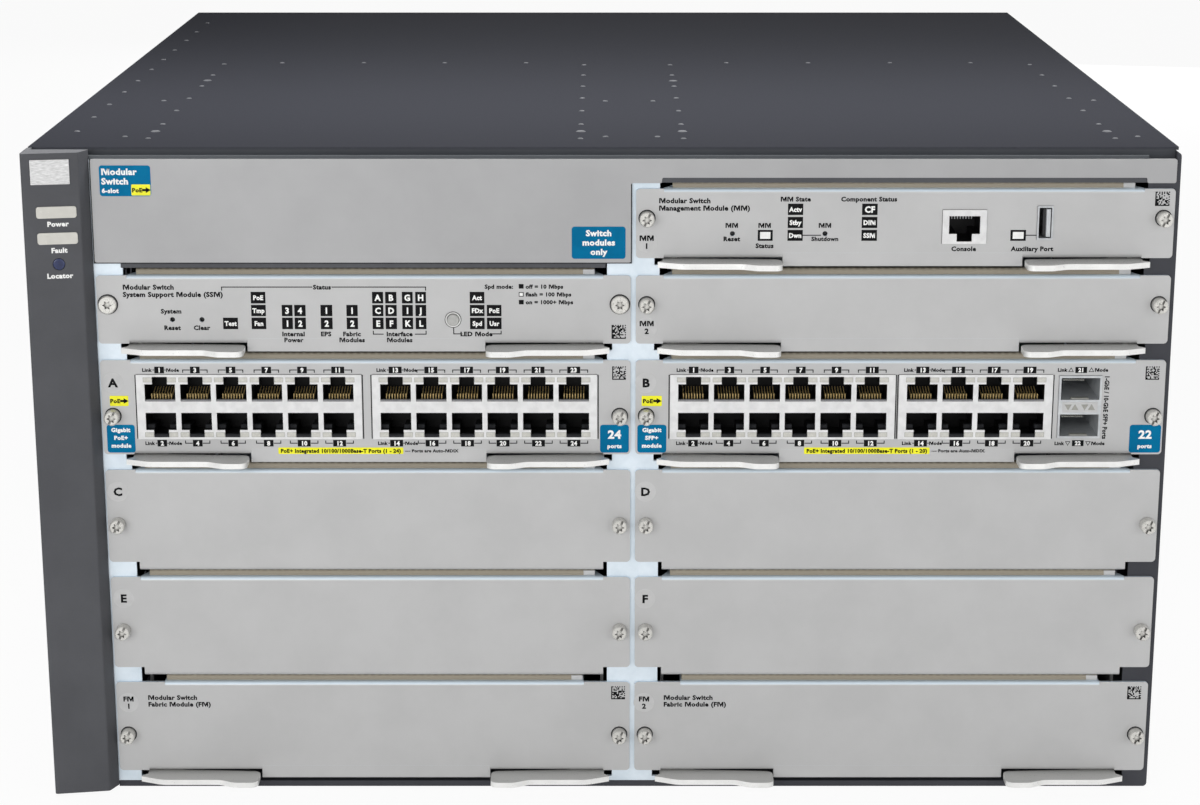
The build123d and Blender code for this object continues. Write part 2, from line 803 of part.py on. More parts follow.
def module_board(name, side, floor, boss, chips, holders):
    # Circuit board with its rear connector, a finned heat sink and square chips
    top = floor + plate_sheet + boss + board_thickness
    middle = body_x(side)
    sink_size = 48.0
    sink_base = 4.0
    fin_height = 9.0
    fins = 12
    sink_y = front + 150.0
    with BuildPart() as board:
        with BuildSketch(Plane.XY.offset(top - board_thickness)):
            with Locations((middle, front + board_start)):
                Rectangle(board_width, board_length, align=(Align.CENTER, Align.MIN))
        extrude(amount=board_thickness)
        with BuildSketch(Plane.XY.offset(top)):
            with Locations((middle, front + backplane_reach - header_depth - mating_gap)):
                Rectangle(header_width, 3 * header_height, align=(Align.CENTER, Align.MAX))
        extrude(amount=header_height)
        with BuildSketch(Plane.XY.offset(top)):
            with Locations((middle, sink_y)):
                Rectangle(sink_size, sink_size)
        extrude(amount=sink_base)
        with BuildSketch(Plane.XY.offset(top + sink_base)):
            with Locations((middle, sink_y)):
                with GridLocations(sink_size / fins, 0, fins, 1):
                    Rectangle(sink_size / fins / 3, sink_size)
        extrude(amount=fin_height)
        if chips:
            with BuildSketch(Plane.XY.offset(top)):
                for x, y, size in chips:
                    with Locations((middle + x, front + y)):
                        Rectangle(size, size)
            extrude(amount=2)
        for x, radius in holders:
            axis_z = floor + pin_button_rise
            half = radius + holder_wall
            with BuildSketch(facing(front + board_start)):
                with Locations((x, top)):
                    Rectangle(2 * half, axis_z + half - top, align=(Align.CENTER, Align.MIN))
                with Locations((x, axis_z)):
                    Circle(radius + running_gap, mode=Mode.SUBTRACT)
            extrude(amount=-holder_depth)
    board.part.label = name
    export_step(board.part, f"parts/{name}.step")


def jack_blocks(name, floor, blocks):
    # Blocks of sockets in two rows, the keys upwards above and downwards below
    with BuildPart() as jacks:
        for middle, columns in blocks:
            with BuildSketch(facing(front - jack_stand)):
                with Locations((middle, floor + jack_rise)):
                    Rectangle(columns * jack_pitch + 2 * jack_margin, jack_height)
            extrude(amount=-jack_depth)
            with BuildSketch(facing(front - jack_stand)):
                for row in (-1, 1):
                    with Locations((middle, floor + jack_rise + row * socket_middle)):
                        with GridLocations(jack_pitch, 0, columns, 1):
                            Rectangle(socket_width, socket_height)
                    key_middle = socket_middle + (socket_height + key_height) / 2
                    with Locations((middle, floor + jack_rise + row * key_middle)):
                        with GridLocations(jack_pitch, 0, columns, 1):
                            Rectangle(key_width, key_height)
            extrude(amount=-socket_depth, mode=Mode.SUBTRACT)
    jacks.part.label = name
    export_step(jacks.part, f"parts/{name}.step")


def button(name, x, floor, radius, stand):
    with BuildPart() as plunger:
        with BuildSketch(facing(front - stand)):
            with Locations((x, floor + pin_button_rise)):
                Circle(radius)
        extrude(amount=-button_length)
        fillet(plunger.edges().filter_by(GeomType.CIRCLE).sort_by(Axis.Y)[0], radius=0.3)
    plunger.part.label = name
    export_step(plunger.part, f"parts/{name}.step")


def lever_pair(name, side, floor):
    left_pivot, right_pivot = pivot_xs(side)
    ejector_lever(f"{name}_lever_left", left_pivot, floor, 1)
    ejector_lever(f"{name}_lever_right", right_pivot, floor, -1)


# Line module A: two blocks of twelve jacks
jack_columns = int((body_width / 2 - 2 * jack_margin) / jack_pitch)
block_width = jack_columns * jack_pitch + 2 * jack_margin
line_jacks_a = [
    (body_x(-1) - body_width / 2 + 1.95 + block_width / 2, jack_columns),
    (body_x(-1) + body_width / 2 - 2.35 - block_width / 2, jack_columns),
]
jack_windows_a = [
    (x, jack_rise, columns * jack_pitch + 2 * jack_margin, jack_height)
    for x, columns in line_jacks_a
]
line_chips = [(-60.0, 60.0, 24.0), (0.0, 60.0, 24.0), (60.0, 60.0, 24.0), (60.0, 170.0, 16.0)]
module_tray(
    "line_a_tray", -1, line_a_floor, plate_height, module_reach, tall_boss, tall_screw_rise,
    jack_windows_a, [],
)
module_board("line_a_board", -1, line_a_floor, tall_boss, line_chips, [])
fasteners("line_a_fasteners", -1, line_a_floor, tall_screw_rise, knob_radius, knob_height)
jack_blocks("line_a_jacks", line_a_floor, line_jacks_a)
lever_pair("line_a", -1, line_a_floor)

# Line module B: twenty jacks and a cage for two optical transceivers
short_block_width = block_width - 2 * jack_pitch
first_block_x = body_x(1) - body_width / 2 + 2.85 + block_width / 2
second_block_x = first_block_x + block_width / 2 + 1.4 + short_block_width / 2
line_jacks_b = [(first_block_x, jack_columns), (second_block_x, jack_columns - 2)]
cage_x = second_block_x + short_block_width / 2 + 2.5 + cage_width / 2
jack_windows_b = [
    (x, jack_rise, columns * jack_pitch + 2 * jack_margin, jack_height)
    for x, columns in line_jacks_b
]
jack_windows_b.append((cage_x, jack_rise, cage_width, cage_height))
module_tray(
    "line_b_tray", 1, line_a_floor, plate_height, module_reach, tall_boss, tall_screw_rise,
    jack_windows_b, [],
)
module_board("line_b_board", 1, line_a_floor, tall_boss, line_chips, [])
fasteners("line_b_fasteners", 1, line_a_floor, tall_screw_rise, knob_radius, knob_height)
jack_blocks("line_b_jacks", line_a_floor, line_jacks_b)
lever_pair("line_b", 1, line_a_floor)

with BuildPart() as line_b_cages:
    cage_z = line_a_floor + jack_rise
    with BuildSketch(facing(front - jack_stand)):
        with Locations((cage_x, cage_z)):
            Rectangle(cage_width, cage_height)
        with Locations((cage_x, cage_z)):
            with GridLocations(0, cage_height - cage_opening - 2 * cage_wall, 1, 2):
                Rectangle(cage_width - 2 * cage_wall, cage_opening, mode=Mode.SUBTRACT)
    extrude(amount=-cage_depth)
    with BuildSketch(facing(front - jack_stand + cage_depth)):
        with Locations((cage_x, cage_z)):
            Rectangle(cage_width, cage_height)
    extrude(amount=cage_wall)
line_b_cages.part.label = "line_b_cages"
export_step(line_b_cages.part, "parts/line_b_cages.step")

# Management module 1: console jack, upright USB port and two recessed buttons
console_x = body_x(1) + body_width / 2 - 69.05
usb_x = body_x(1) + body_width / 2 - 37.95
reset_x = body_x(1) - body_width / 2 + 26.55
shutdown_x = body_x(1) - body_width / 2 + 62.35
module_tray(
    "management_1_tray", 1, management_1_floor, low_plate_height, module_reach, low_boss,
    low_screw_height,
    [
        (console_x, console_rise, console_width, console_height),
        (usb_x, usb_rise, usb_width, usb_height),
    ],
    [(reset_x, pin_button_rise, pinhole_radius), (shutdown_x, pin_button_rise, pinhole_radius)],
)
module_board(
    "management_1_board", 1, management_1_floor, low_boss, [(-40.0, 70.0, 30.0), (30.0, 80.0, 20.0)],
    [(reset_x, pin_button_radius), (shutdown_x, pin_button_radius)],
)
fasteners(
    "management_1_fasteners", 1, management_1_floor, low_screw_height, knob_radius, knob_height
)
lever_pair("management_1", 1, management_1_floor)
button("management_1_reset_button", reset_x, management_1_floor, pin_button_radius, -button_setback)
button(
    "management_1_shutdown_button", shutdown_x, management_1_floor, pin_button_radius,
    -button_setback,
)

with BuildPart() as console_jack:
    with BuildSketch(facing(front - jack_stand)):
        with Locations((console_x, management_1_floor + console_rise)):
            Rectangle(console_width, console_height)
    extrude(amount=-jack_depth)
    with BuildSketch(facing(front - jack_stand)):
        with Locations((console_x, management_1_floor + console_rise + key_height / 4)):
            Rectangle(socket_width, socket_height)
            with Locations((0, -(socket_height + key_height) / 2)):
                Rectangle(key_width, key_height)
    extrude(amount=-socket_depth, mode=Mode.SUBTRACT)
console_jack.part.label = "management_1_console_jack"
export_step(console_jack.part, "parts/management_1_console_jack.step")

with BuildPart() as usb_port:
    usb_z = management_1_floor + usb_rise
    usb_foot = management_1_floor + plate_sheet + low_boss + board_thickness
    with BuildSketch(facing(front - jack_stand)):
        with Locations((usb_x, usb_z)):
            Rectangle(usb_width, usb_height)
            Rectangle(usb_width - 2 * usb_shell, usb_height - 2 * usb_shell, mode=Mode.SUBTRACT)
        with Locations((usb_x + usb_width / 5, usb_z)):
            Rectangle(usb_width / 4, usb_height - 4 * usb_shell)
    extrude(amount=-usb_depth)
    with BuildSketch(facing(front - jack_stand + usb_depth)):
        with Locations((usb_x, usb_foot)):
            Rectangle(usb_width, usb_z + usb_height / 2 - usb_foot, align=(Align.CENTER, Align.MIN))
    extrude(amount=-usb_width)
usb_port.part.label = "management_1_usb_port"
export_step(usb_port.part, "parts/management_1_usb_port.step")

# Management module 2: a plain plate on a short tray, with levers
module_tray(
    "management_2_tray", 1, low_slot_floor, low_plate_height, blank_reach, 0, low_screw_height,
    [], [],
)
fasteners("management_2_fasteners", 1, low_slot_floor, low_screw_height, knob_radius, knob_height)
lever_pair("management_2", 1, low_slot_floor)

# System support module: mode button and two recessed buttons
mode_x = body_x(-1) + body_width / 2 - 58.55
system_reset_x = body_x(-1) - body_width / 2 + 17.25
clear_x = body_x(-1) - body_width / 2 + 28.75
module_tray(
    "support_tray", -1, low_slot_floor, low_plate_height, module_reach, low_boss, low_screw_height,
    [],
    [
        (system_reset_x, pin_button_rise, pinhole_radius),
        (clear_x, pin_button_rise, pinhole_radius),
        (mode_x, pin_button_rise, mode_button_radius + screw_clearance),
    ],
)
module_board(
    "support_board", -1, low_slot_floor, low_boss, [(-30.0, 70.0, 26.0)],
    [
        (system_reset_x, pin_button_radius),
        (clear_x, pin_button_radius),
        (mode_x, mode_button_radius),
    ],
)
fasteners(
    "support_fasteners", -1, low_slot_floor, low_screw_height, pan_radius, pan_height, slotted=False
)
lever_pair("support", -1, low_slot_floor)
button("support_mode_button", mode_x, low_slot_floor, mode_button_radius, mode_button_stand)
button("support_reset_button", system_reset_x, low_slot_floor, pin_button_radius, -button_setback)
button("support_clear_button", clear_x, low_slot_floor, pin_button_radius, -button_setback)

# Fabric modules: closed cartridges in the lowest row
for number, side in ((1, -1), (2, 1)):
    module_tray(
        f"fabric_{number}_case", side, slot_floor, plate_height, module_reach, 0, tall_screw_rise,
        [], [], closed=True,
    )
    fasteners(
        f"fabric_{number}_fasteners", side, slot_floor, tall_screw_rise, knob_radius, knob_height
    )
    lever_pair(f"fabric_{number}", side, slot_floor)

# Blank covers of the four empty slots, with one group of screws
cover_slots = {"c": (-1, 2), "d": (1, 2), "e": (-1, 1), "f": (1, 1)}
for letter, (side, row) in cover_slots.items():
    cover_floor = slot_floor + row * slot_pitch
    with BuildPart() as slot_cover:
        with BuildSketch(Plane.YZ.offset(body_x(side) - body_width / 2)):
            add(
                folded_section(
                    [
                        (front + lip_depth, cover_floor + plate_height),
                        (front, cover_floor + plate_height),
                        (front, cover_floor - cover_drop),
                        (front + lip_depth, cover_floor - cover_drop),
                    ],
                    plate_bend,
                    plate_sheet,
                )
            )
        extrude(amount=body_width)
        with BuildSketch(facing(front)):
            with Locations((plate_x(side), cover_floor + plate_height / 2)):
                RectangleRounded(plate_width, plate_height, plate_corner)
            with Locations((body_x(side), cover_floor + plate_height / 2)):
                Rectangle(body_width, plate_height, mode=Mode.SUBTRACT)
            with Locations(*[(x, cover_floor + tall_screw_rise) for x in screw_xs(side)]):
                Circle(shank_radius + screw_clearance, mode=Mode.SUBTRACT)
        extrude(amount=-plate_sheet)
        with BuildSketch(Plane.XY.offset(cover_floor - cover_drop)):
            for end in (-1, 1):
                edge = body_x(side) + end * body_width / 2
                with BuildLine():
                    Polyline(
                        (edge, front + plate_bend),
                        (edge, front + lip_depth),
                        (edge - end * lip_chamfer, front + lip_depth),
                        close=True,
                    )
                make_face()
        extrude(amount=plate_height + cover_drop, mode=Mode.SUBTRACT)
    slot_cover.part.label = f"slot_cover_{letter}"
    export_step(slot_cover.part, f"parts/slot_cover_{letter}.step")

with BuildPart() as slot_cover_screws:
    for side, row in cover_slots.values():
        for x in screw_xs(side):
            screw_z = slot_floor + row * slot_pitch + tall_screw_rise
            with BuildSketch(facing(front)):
                with Locations((x, screw_z)):
                    Circle(knob_radius)
            extrude(amount=knob_height)
            with BuildSketch(facing(front)):
                with Locations((x, screw_z)):
                    Circle(shank_radius)
            extrude(amount=-shank_length)
            with BuildSketch(facing(front - knob_height)):
                with Locations((x, screw_z)):
                    RegularPolygon(star_radius, 3)
                    RegularPolygon(star_radius, 3, rotation=60)
                    Rectangle(2 * knob_radius, slot_width, rotation=slot_turn)
            extrude(amount=-slot_depth, mode=Mode.SUBTRACT)
    chamfer(slot_cover_screws.edges().filter_by(GeomType.CIRCLE).group_by(Axis.Y)[0], length=0.4)
slot_cover_screws.part.label = "slot_cover_screws"
export_step(slot_cover_screws.part, "parts/slot_cover_screws.step")

# Backplane against the bulkhead, with a header for every slot
with BuildPart() as backplane:
    board_left = centre_x - partition_offset + bay_gap
    board_right = right - sheet - bay_gap
    with BuildSketch(facing(front + backplane_reach)):
        with Locations((board_left, slot_floor)):
            Rectangle(
                centre_x - sheet / 2 - bay_gap - board_left,
                cover_underside - 2 * slot_floor,
                align=(Align.MIN, Align.MIN),
            )
        with Locations((centre_x + sheet / 2 + bay_gap, slot_floor)):
            Rectangle(
                board_right - centre_x - sheet / 2 - bay_gap,
                cover_underside - 2 * slot_floor,
                align=(Align.MIN, Align.MIN),
            )
    extrude(amount=-backplane_thickness)
    with BuildSketch(facing(front + backplane_reach)):
        for side, floor in rail_slots:
            boss = tall_boss if floor < low_slot_floor else low_boss
            header_z = floor + plate_sheet + boss + board_thickness
            with Locations((body_x(side), header_z)):
                Rectangle(header_width, header_height, align=(Align.CENTER, Align.MIN))
    extrude(amount=header_depth)
backplane.part.label = "backplane"
export_step(backplane.part, "parts/backplane.step")


def pull_handle(x, z, span, upright):
    # Round bar bent into a U, its ends in the rear plate
    if upright:
        ends = [(x, z - span / 2), (x, z + span / 2)]
    else:
        ends = [(x - span / 2, z), (x + span / 2, z)]
    foot = rear + rear_plate / 2
    with BuildPart() as handle:
        with BuildLine():
            FilletPolyline(
                (ends[0][0], foot, ends[0][1]),
                (ends[0][0], rear + handle_stand, ends[0][1]),
                (ends[1][0], rear + handle_stand, ends[1][1]),
                (ends[1][0], foot, ends[1][1]),
                radius=3 * handle_radius,
            )
        with BuildSketch(Plane((ends[0][0], foot, ends[0][1]), x_dir=(1, 0, 0), z_dir=(0, 1, 0))):
            Circle(handle_radius)
        sweep()
    return handle.part


# Power supplies: hollow cartridges with a mains inlet, an air grille and a handle
for hand, psu_name in ((-1, "power_supply_left"), (1, "power_supply_right")):
    psu_x = hand * psu_spacing / 2
    psu_z = psu_floor + psu_height / 2
    inlet_x = psu_x + psu_width / 2 - 30.0
    grille_columns = int((psu_width - 95.0) / grille_pitch)
    grille_x = psu_x - psu_width / 2 + 17.5 + grille_columns * grille_pitch / 2
    with BuildPart() as power_supply:
        with BuildSketch(facing(rear)):
            with Locations((psu_x, psu_z)):
                Rectangle(psu_width, psu_height)
        extrude(amount=psu_depth)
        inner_face = power_supply.faces().sort_by(Axis.Y)[0]
        offset(amount=-cartridge_sheet, openings=inner_face)
        with BuildSketch(facing(rear + rear_plate)):
            with Locations((psu_x, psu_z)):
                Rectangle(psu_width + 2 * flange_overlap, psu_height + 2 * flange_overlap)
        extrude(amount=rear_plate)
        with BuildSketch(facing(rear)):
            with Locations((inlet_x, psu_z)):
                Rectangle(inlet_width + 8.0, inlet_height + 8.0)
        extrude(amount=inlet_depth + 4.0)
        with BuildSketch(facing(rear + rear_plate)):
            with Locations((inlet_x, psu_z)):
                RectangleRounded(inlet_width, inlet_height, 2.0)
        extrude(amount=inlet_depth, mode=Mode.SUBTRACT)
        with BuildSketch(facing(rear - inlet_depth + 12.0)):
            with Locations((inlet_x - 7.0, psu_z - 2.0), (inlet_x, psu_z + 2.5), (inlet_x + 7.0, psu_z - 2.0)):
                Rectangle(2.0, 4.0)
        extrude(amount=12.0)
        with BuildSketch(facing(rear + rear_plate)):
            with Locations((grille_x, psu_z)):
                with GridLocations(grille_pitch, grille_pitch, grille_columns, 6):
                    RegularPolygon(4.2, 6)
        extrude(amount=rear_plate + 2 * cartridge_sheet, mode=Mode.SUBTRACT)
        add(pull_handle(psu_x + psu_width / 2 - 60.0, psu_z, 54.0, True))
    power_supply.part.label = psu_name
    export_step(power_supply.part, f"parts/{psu_name}.step")

# Fan tray: folded carrier with two ducts, finger guards and the rotors' axles
with BuildPart() as fan_tray:
    with BuildSketch(Plane.YZ.offset(-fan_tray_width / 2)):
        add(
            folded_section(
                [
                    (rear - fan_tray_depth, fan_tray_floor),
                    (rear + rear_plate, fan_tray_floor),
                    (rear + rear_plate, fan_tray_floor + fan_tray_height),
                    (rear - fan_tray_depth, fan_tray_floor + fan_tray_height),
                ],
                plate_bend,
                cartridge_sheet,
            )
        )
    extrude(amount=fan_tray_width)
    with BuildSketch(facing(rear + rear_plate)):
        with Locations((0, fan_z)):
            Rectangle(fan_tray_width + 2 * flange_overlap, fan_tray_height + 2 * flange_overlap)
    extrude(amount=rear_plate)
    with BuildSketch(facing(rear + rear_plate)):
        with Locations((0, fan_z)):
            with GridLocations(fan_spacing, 0, 2, 1):
                Circle(fan_bore + fan_wall)
    extrude(amount=duct_length)
    with BuildSketch(facing(rear + rear_plate)):
        with Locations((0, fan_z)):
            with GridLocations(fan_spacing, 0, 2, 1):
                Circle(fan_bore)
    extrude(amount=duct_length + rear_plate, mode=Mode.SUBTRACT)
    with BuildSketch(facing(rear + rear_plate)):
        with Locations((0, fan_z)):
            with GridLocations(fan_spacing, 0, 2, 1):
                for ring in range(4):
                    inner = hub_radius + ring * guard_pitch
                    Circle(inner + guard_wire)
                    Circle(inner, mode=Mode.SUBTRACT)
                Circle(hub_radius - hub_wall)
                for turn in (45, 135):
                    Rectangle(2 * fan_bore + fan_wall, guard_wire, rotation=turn)
    extrude(amount=rear_plate)
    with BuildSketch(facing(rear)):
        with Locations((0, fan_z)):
            with GridLocations(fan_spacing, 0, 2, 1):
                Circle(axle_radius)
    extrude(amount=hub_depth + hub_gap)
    add(pull_handle(0, fan_z, 100.0, True))
fan_tray.part.label = "fan_tray"
export_step(fan_tray.part, "parts/fan_tray.step")

# Fan rotors: a cup with a bearing tube inside and seven pitched blades
blade_tip = fan_bore - blade_clearance
with BuildPart() as blade:
    with BuildSketch(Plane.YZ.offset(hub_radius - hub_wall / 2)):
        with Locations((0, hub_depth / 2)):
            Rectangle(hub_depth * 0.9, 1.6, rotation=52)
    with BuildSketch(Plane.YZ.offset(blade_tip)):
        with Locations((0, hub_depth / 2)):
            Rectangle(hub_depth * 1.25, 1.2, rotation=32)
    loft()
for hand, rotor_name in ((-1, "fan_rotor_left"), (1, "fan_rotor_right")):
    rotor_plane = Plane(
        origin=(hand * fan_spacing / 2, rear - hub_gap, fan_z), x_dir=(1, 0, 0), z_dir=(0, -1, 0)
    )
    with BuildPart(rotor_plane) as fan_rotor:
        with BuildSketch(rotor_plane):
            Circle(hub_radius)
            Circle(hub_radius - hub_wall, mode=Mode.SUBTRACT)
        extrude(amount=hub_depth)
        with BuildSketch(rotor_plane):
            Circle(2 * axle_radius)
            Circle(axle_radius + running_gap, mode=Mode.SUBTRACT)
        extrude(amount=hub_depth)
        with BuildSketch(rotor_plane):
            Circle(hub_radius)
            Circle(axle_radius + running_gap, mode=Mode.SUBTRACT)
        extrude(amount=hub_wall)
        with PolarLocations(0, 7):
            add(blade.part)
    fan_rotor.part.label = rotor_name
    export_step(fan_rotor.part, f"parts/{rotor_name}.step")
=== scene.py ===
import math
import random

import bmesh
import bpy
from mathutils import Matrix, Vector


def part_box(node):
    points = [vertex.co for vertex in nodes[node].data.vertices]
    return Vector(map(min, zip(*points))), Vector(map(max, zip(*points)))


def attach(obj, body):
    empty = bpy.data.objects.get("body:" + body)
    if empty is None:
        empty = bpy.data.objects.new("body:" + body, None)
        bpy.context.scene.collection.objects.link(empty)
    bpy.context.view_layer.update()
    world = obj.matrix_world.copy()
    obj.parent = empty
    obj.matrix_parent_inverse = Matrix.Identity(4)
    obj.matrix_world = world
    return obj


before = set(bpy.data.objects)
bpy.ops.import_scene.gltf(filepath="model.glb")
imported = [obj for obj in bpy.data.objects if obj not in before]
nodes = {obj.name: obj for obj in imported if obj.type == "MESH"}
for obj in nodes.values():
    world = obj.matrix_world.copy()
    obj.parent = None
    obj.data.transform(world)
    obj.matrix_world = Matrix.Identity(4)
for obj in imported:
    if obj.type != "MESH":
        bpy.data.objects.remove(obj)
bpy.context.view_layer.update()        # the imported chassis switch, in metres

random.seed(11)
print("frame loaded:", len(nodes), "nodes")

moduleKeys = ("management_1", "management_2", "support", "line_a", "line_b", "fabric_1", "fabric_2")
coverKeys = ("slot_cover_c", "slot_cover_d", "slot_cover_e", "slot_cover_f")


def bodyOf(key):
    # a module's pieces slide with it; the fascia and the blank covers are fixed to the chassis
    return key + "_module" if key in moduleKeys else "chassis"


def carrier(key):
    # the node that a module's plate is part of
    return key + ("_case" if key.startswith("fabric") else "_tray")


def nodeBox(name):
    # lowest and highest corner of a node at rest, in mm
    return [Vector(corner) * 1000 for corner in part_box(name)]


# Colour, nodes and meshes used by every piece

def toLinear(code):
    parts = [int(code[i:i + 2], 16) / 255 for i in (1, 3, 5)]
    return [c / 12.92 if c <= 0.04045 else ((c + 0.055) / 1.055) ** 2.4 for c in parts] + [1.0]


def addNode(tree, kind, settings=None, links=None):
    node = tree.nodes.new("ShaderNode" + kind)
    for key, value in (settings or {}).items():
        if key == "stops":
            for index, (place, code) in enumerate(value):
                stops = node.color_ramp.elements
                stop = stops[index] if index < 2 else stops.new(place)
                stop.position = place
                stop.color = toLinear(code)
        elif isinstance(key, int) or key in node.inputs:
            node.inputs[key].default_value = value
        else:
            setattr(node, key, value)
    for key, source in (links or {}).items():
        tree.links.new(source, node.inputs[key])
    return node


def newMaterial(name):
    material = bpy.data.materials.new(name)
    material.use_nodes = True
    tree = material.node_tree
    tree.nodes.clear()
    place = addNode(tree, "TexCoord").outputs["Object"]
    return material, tree, place


def addShader(tree, settings, links):
    shader = addNode(tree, "BsdfPrincipled", settings, links)
    addNode(tree, "OutputMaterial", {}, {"Surface": shader.outputs["BSDF"]})


plainLook = {"grain": 0.4, "relief": 0.1, "height": 0.01, "metal": 0.0, "gloss": 0.5}


def paintedFinish(name, tones, look):
    # tones: dark and light colour of the slow patches; sizes in look are real millimetres
    look = {**plainLook, **look}
    material, tree, place = newMaterial(name)
    patches = addNode(tree, "TexNoise",
                      {"Scale": 1000 / look["patch"], "Detail": 4.0, "Roughness": 0.6}, {"Vector": place})
    colours = addNode(tree, "ValToRGB", {"stops": [(0.36, tones[0]), (0.64, tones[1])]},
                      {"Fac": patches.outputs["Fac"]})
    grain = addNode(tree, "TexNoise", {"Scale": 1000 / look["grain"], "Detail": 2.0},
                    {"Vector": place})
    relief = addNode(tree, "Bump",
                     {"Strength": look["relief"], "Distance": look["height"] / 1000},
                     {"Height": grain.outputs["Fac"]})
    gloss = addNode(tree, "MapRange",
                    {"From Min": 0.3, "From Max": 0.7, "To Min": look["rough"] - 0.05,
                     "To Max": look["rough"] + 0.06}, {"Value": grain.outputs["Fac"]})
    base = colours.outputs["Color"]
    if "paintedLightUpward" in look:   # painted light and shade: a second tone where a face turns up, from one slope to another
        tone, start, end = look["paintedLightUpward"]
        facing = addNode(tree, "NewGeometry")
        lift = addNode(tree, "SeparateXYZ", {}, {"Vector": facing.outputs["Normal"]})
        share = addNode(tree, "MapRange", {"From Min": start, "From Max": end},
                        {"Value": lift.outputs["Z"]})
        base = addNode(tree, "Mix", {"data_type": "RGBA", 7: toLinear(tone)},
                       {"Factor": share.outputs["Result"], 6: base}).outputs[2]
    if "above" in look:   # a second tone above a height in millimetres; on the zinc frame this is painted shade
        tone, height = look["above"]
        split = addNode(tree, "SeparateXYZ", {}, {"Vector": place})
        share = addNode(tree, "Math", {"operation": "GREATER_THAN", 1: height / 1000},
                        {0: split.outputs["Z"]})
        base = addNode(tree, "Mix", {"data_type": "RGBA", 7: toLinear(tone)},
                       {"Factor": share.outputs["Value"], 6: base}).outputs[2]
    if "recess" in look:   # painted shade: darker in slots and corners narrower than the given millimetres
        tone, width = look["recess"]
        openness = addNode(tree, "AmbientOcclusion", {"Distance": width / 1000, "samples": 6})
        share = addNode(tree, "MapRange", {"From Min": 0.35, "From Max": 0.9},
                        {"Value": openness.outputs["AO"]})
        base = addNode(tree, "Mix", {"data_type": "RGBA", 6: toLinear(tone)},
                       {"Factor": share.outputs["Result"], 7: base}).outputs[2]
    addShader(tree, {"Metallic": look["metal"], "Specular IOR Level": look["gloss"]},
              {"Base Color": base, "Normal": relief.outputs["Normal"], "Roughness": gloss.outputs["Result"]})
    return material


def newPiece(name, bm, material, body):
    mesh = bpy.data.meshes.new(name)
    bm.to_mesh(mesh)
    bm.free()
    mesh.materials.append(material)
    piece = bpy.data.objects.new(name, mesh)
    bpy.context.scene.collection.objects.link(piece)
    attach(piece, body)


def addBlock(bm, low, high, bevel=0.0, segments=1, turn=0.0):
    # low and high corners in mm; turn is about a vertical line through the middle
    size = [(b - a) / 1000 for a, b in zip(low, high)]
    middle = Vector([(a + b) / 2000 for a, b in zip(low, high)])
    verts = bmesh.ops.create_cube(bm, size=1.0)["verts"]
    bmesh.ops.scale(bm, vec=size, verts=verts)
    if bevel:
        edges = list({e for v in verts for e in v.link_edges})
        done = bmesh.ops.bevel(bm, geom=edges, offset=bevel / 1000, affect="EDGES", segments=segments,
                               profile=0.5, material=-1)
        verts = list({v for f in done["faces"] for v in f.verts} | {v for v in verts if v.is_valid})
    place = Matrix.Translation(middle) @ Matrix.Rotation(turn, 4, "Z")
    bmesh.ops.transform(bm, matrix=place, verts=verts)
    return verts


def addDisc(bm, x, z, radius, y, thick, segments, taper=1.0, roll=0.0):
    # a round or three-sided plate that faces the front, its back on the face at y
    place = (Matrix.Translation((x / 1000, (y - thick / 2) / 1000, z / 1000))
             @ Matrix.Rotation(math.pi / 2, 4, "X") @ Matrix.Rotation(roll, 4, "Z"))
    bmesh.ops.create_cone(bm, cap_ends=True, segments=segments, radius1=radius / 1000,
                          radius2=radius * taper / 1000, depth=thick / 1000, matrix=place)


def addRing(bm, x, z, inner, outer, y, thick):
    # a flat ring that faces the front, its back on the face at y: its section is turned once round
    corners = [bm.verts.new(((x + radius) / 1000, (y - depth) / 1000, z / 1000))
               for radius, depth in ((inner, 0), (inner, thick), (outer, thick), (outer, 0))]
    sides = [bm.edges.new(pair) for pair in zip(corners, corners[1:] + corners[:1])]
    bmesh.ops.spin(bm, geom=corners + sides, cent=(x / 1000, y / 1000, z / 1000), axis=(0, 1, 0),
                   angle=2 * math.pi, steps=32, use_merge=True)
    bmesh.ops.recalc_face_normals(bm, faces=bm.faces)


lettering = {"capShare": 0.72, "bold": 0.03, "boldByCap": 0.05, "spacing": 1.08, "halfThick": 0.01,
             "closeM": -12}


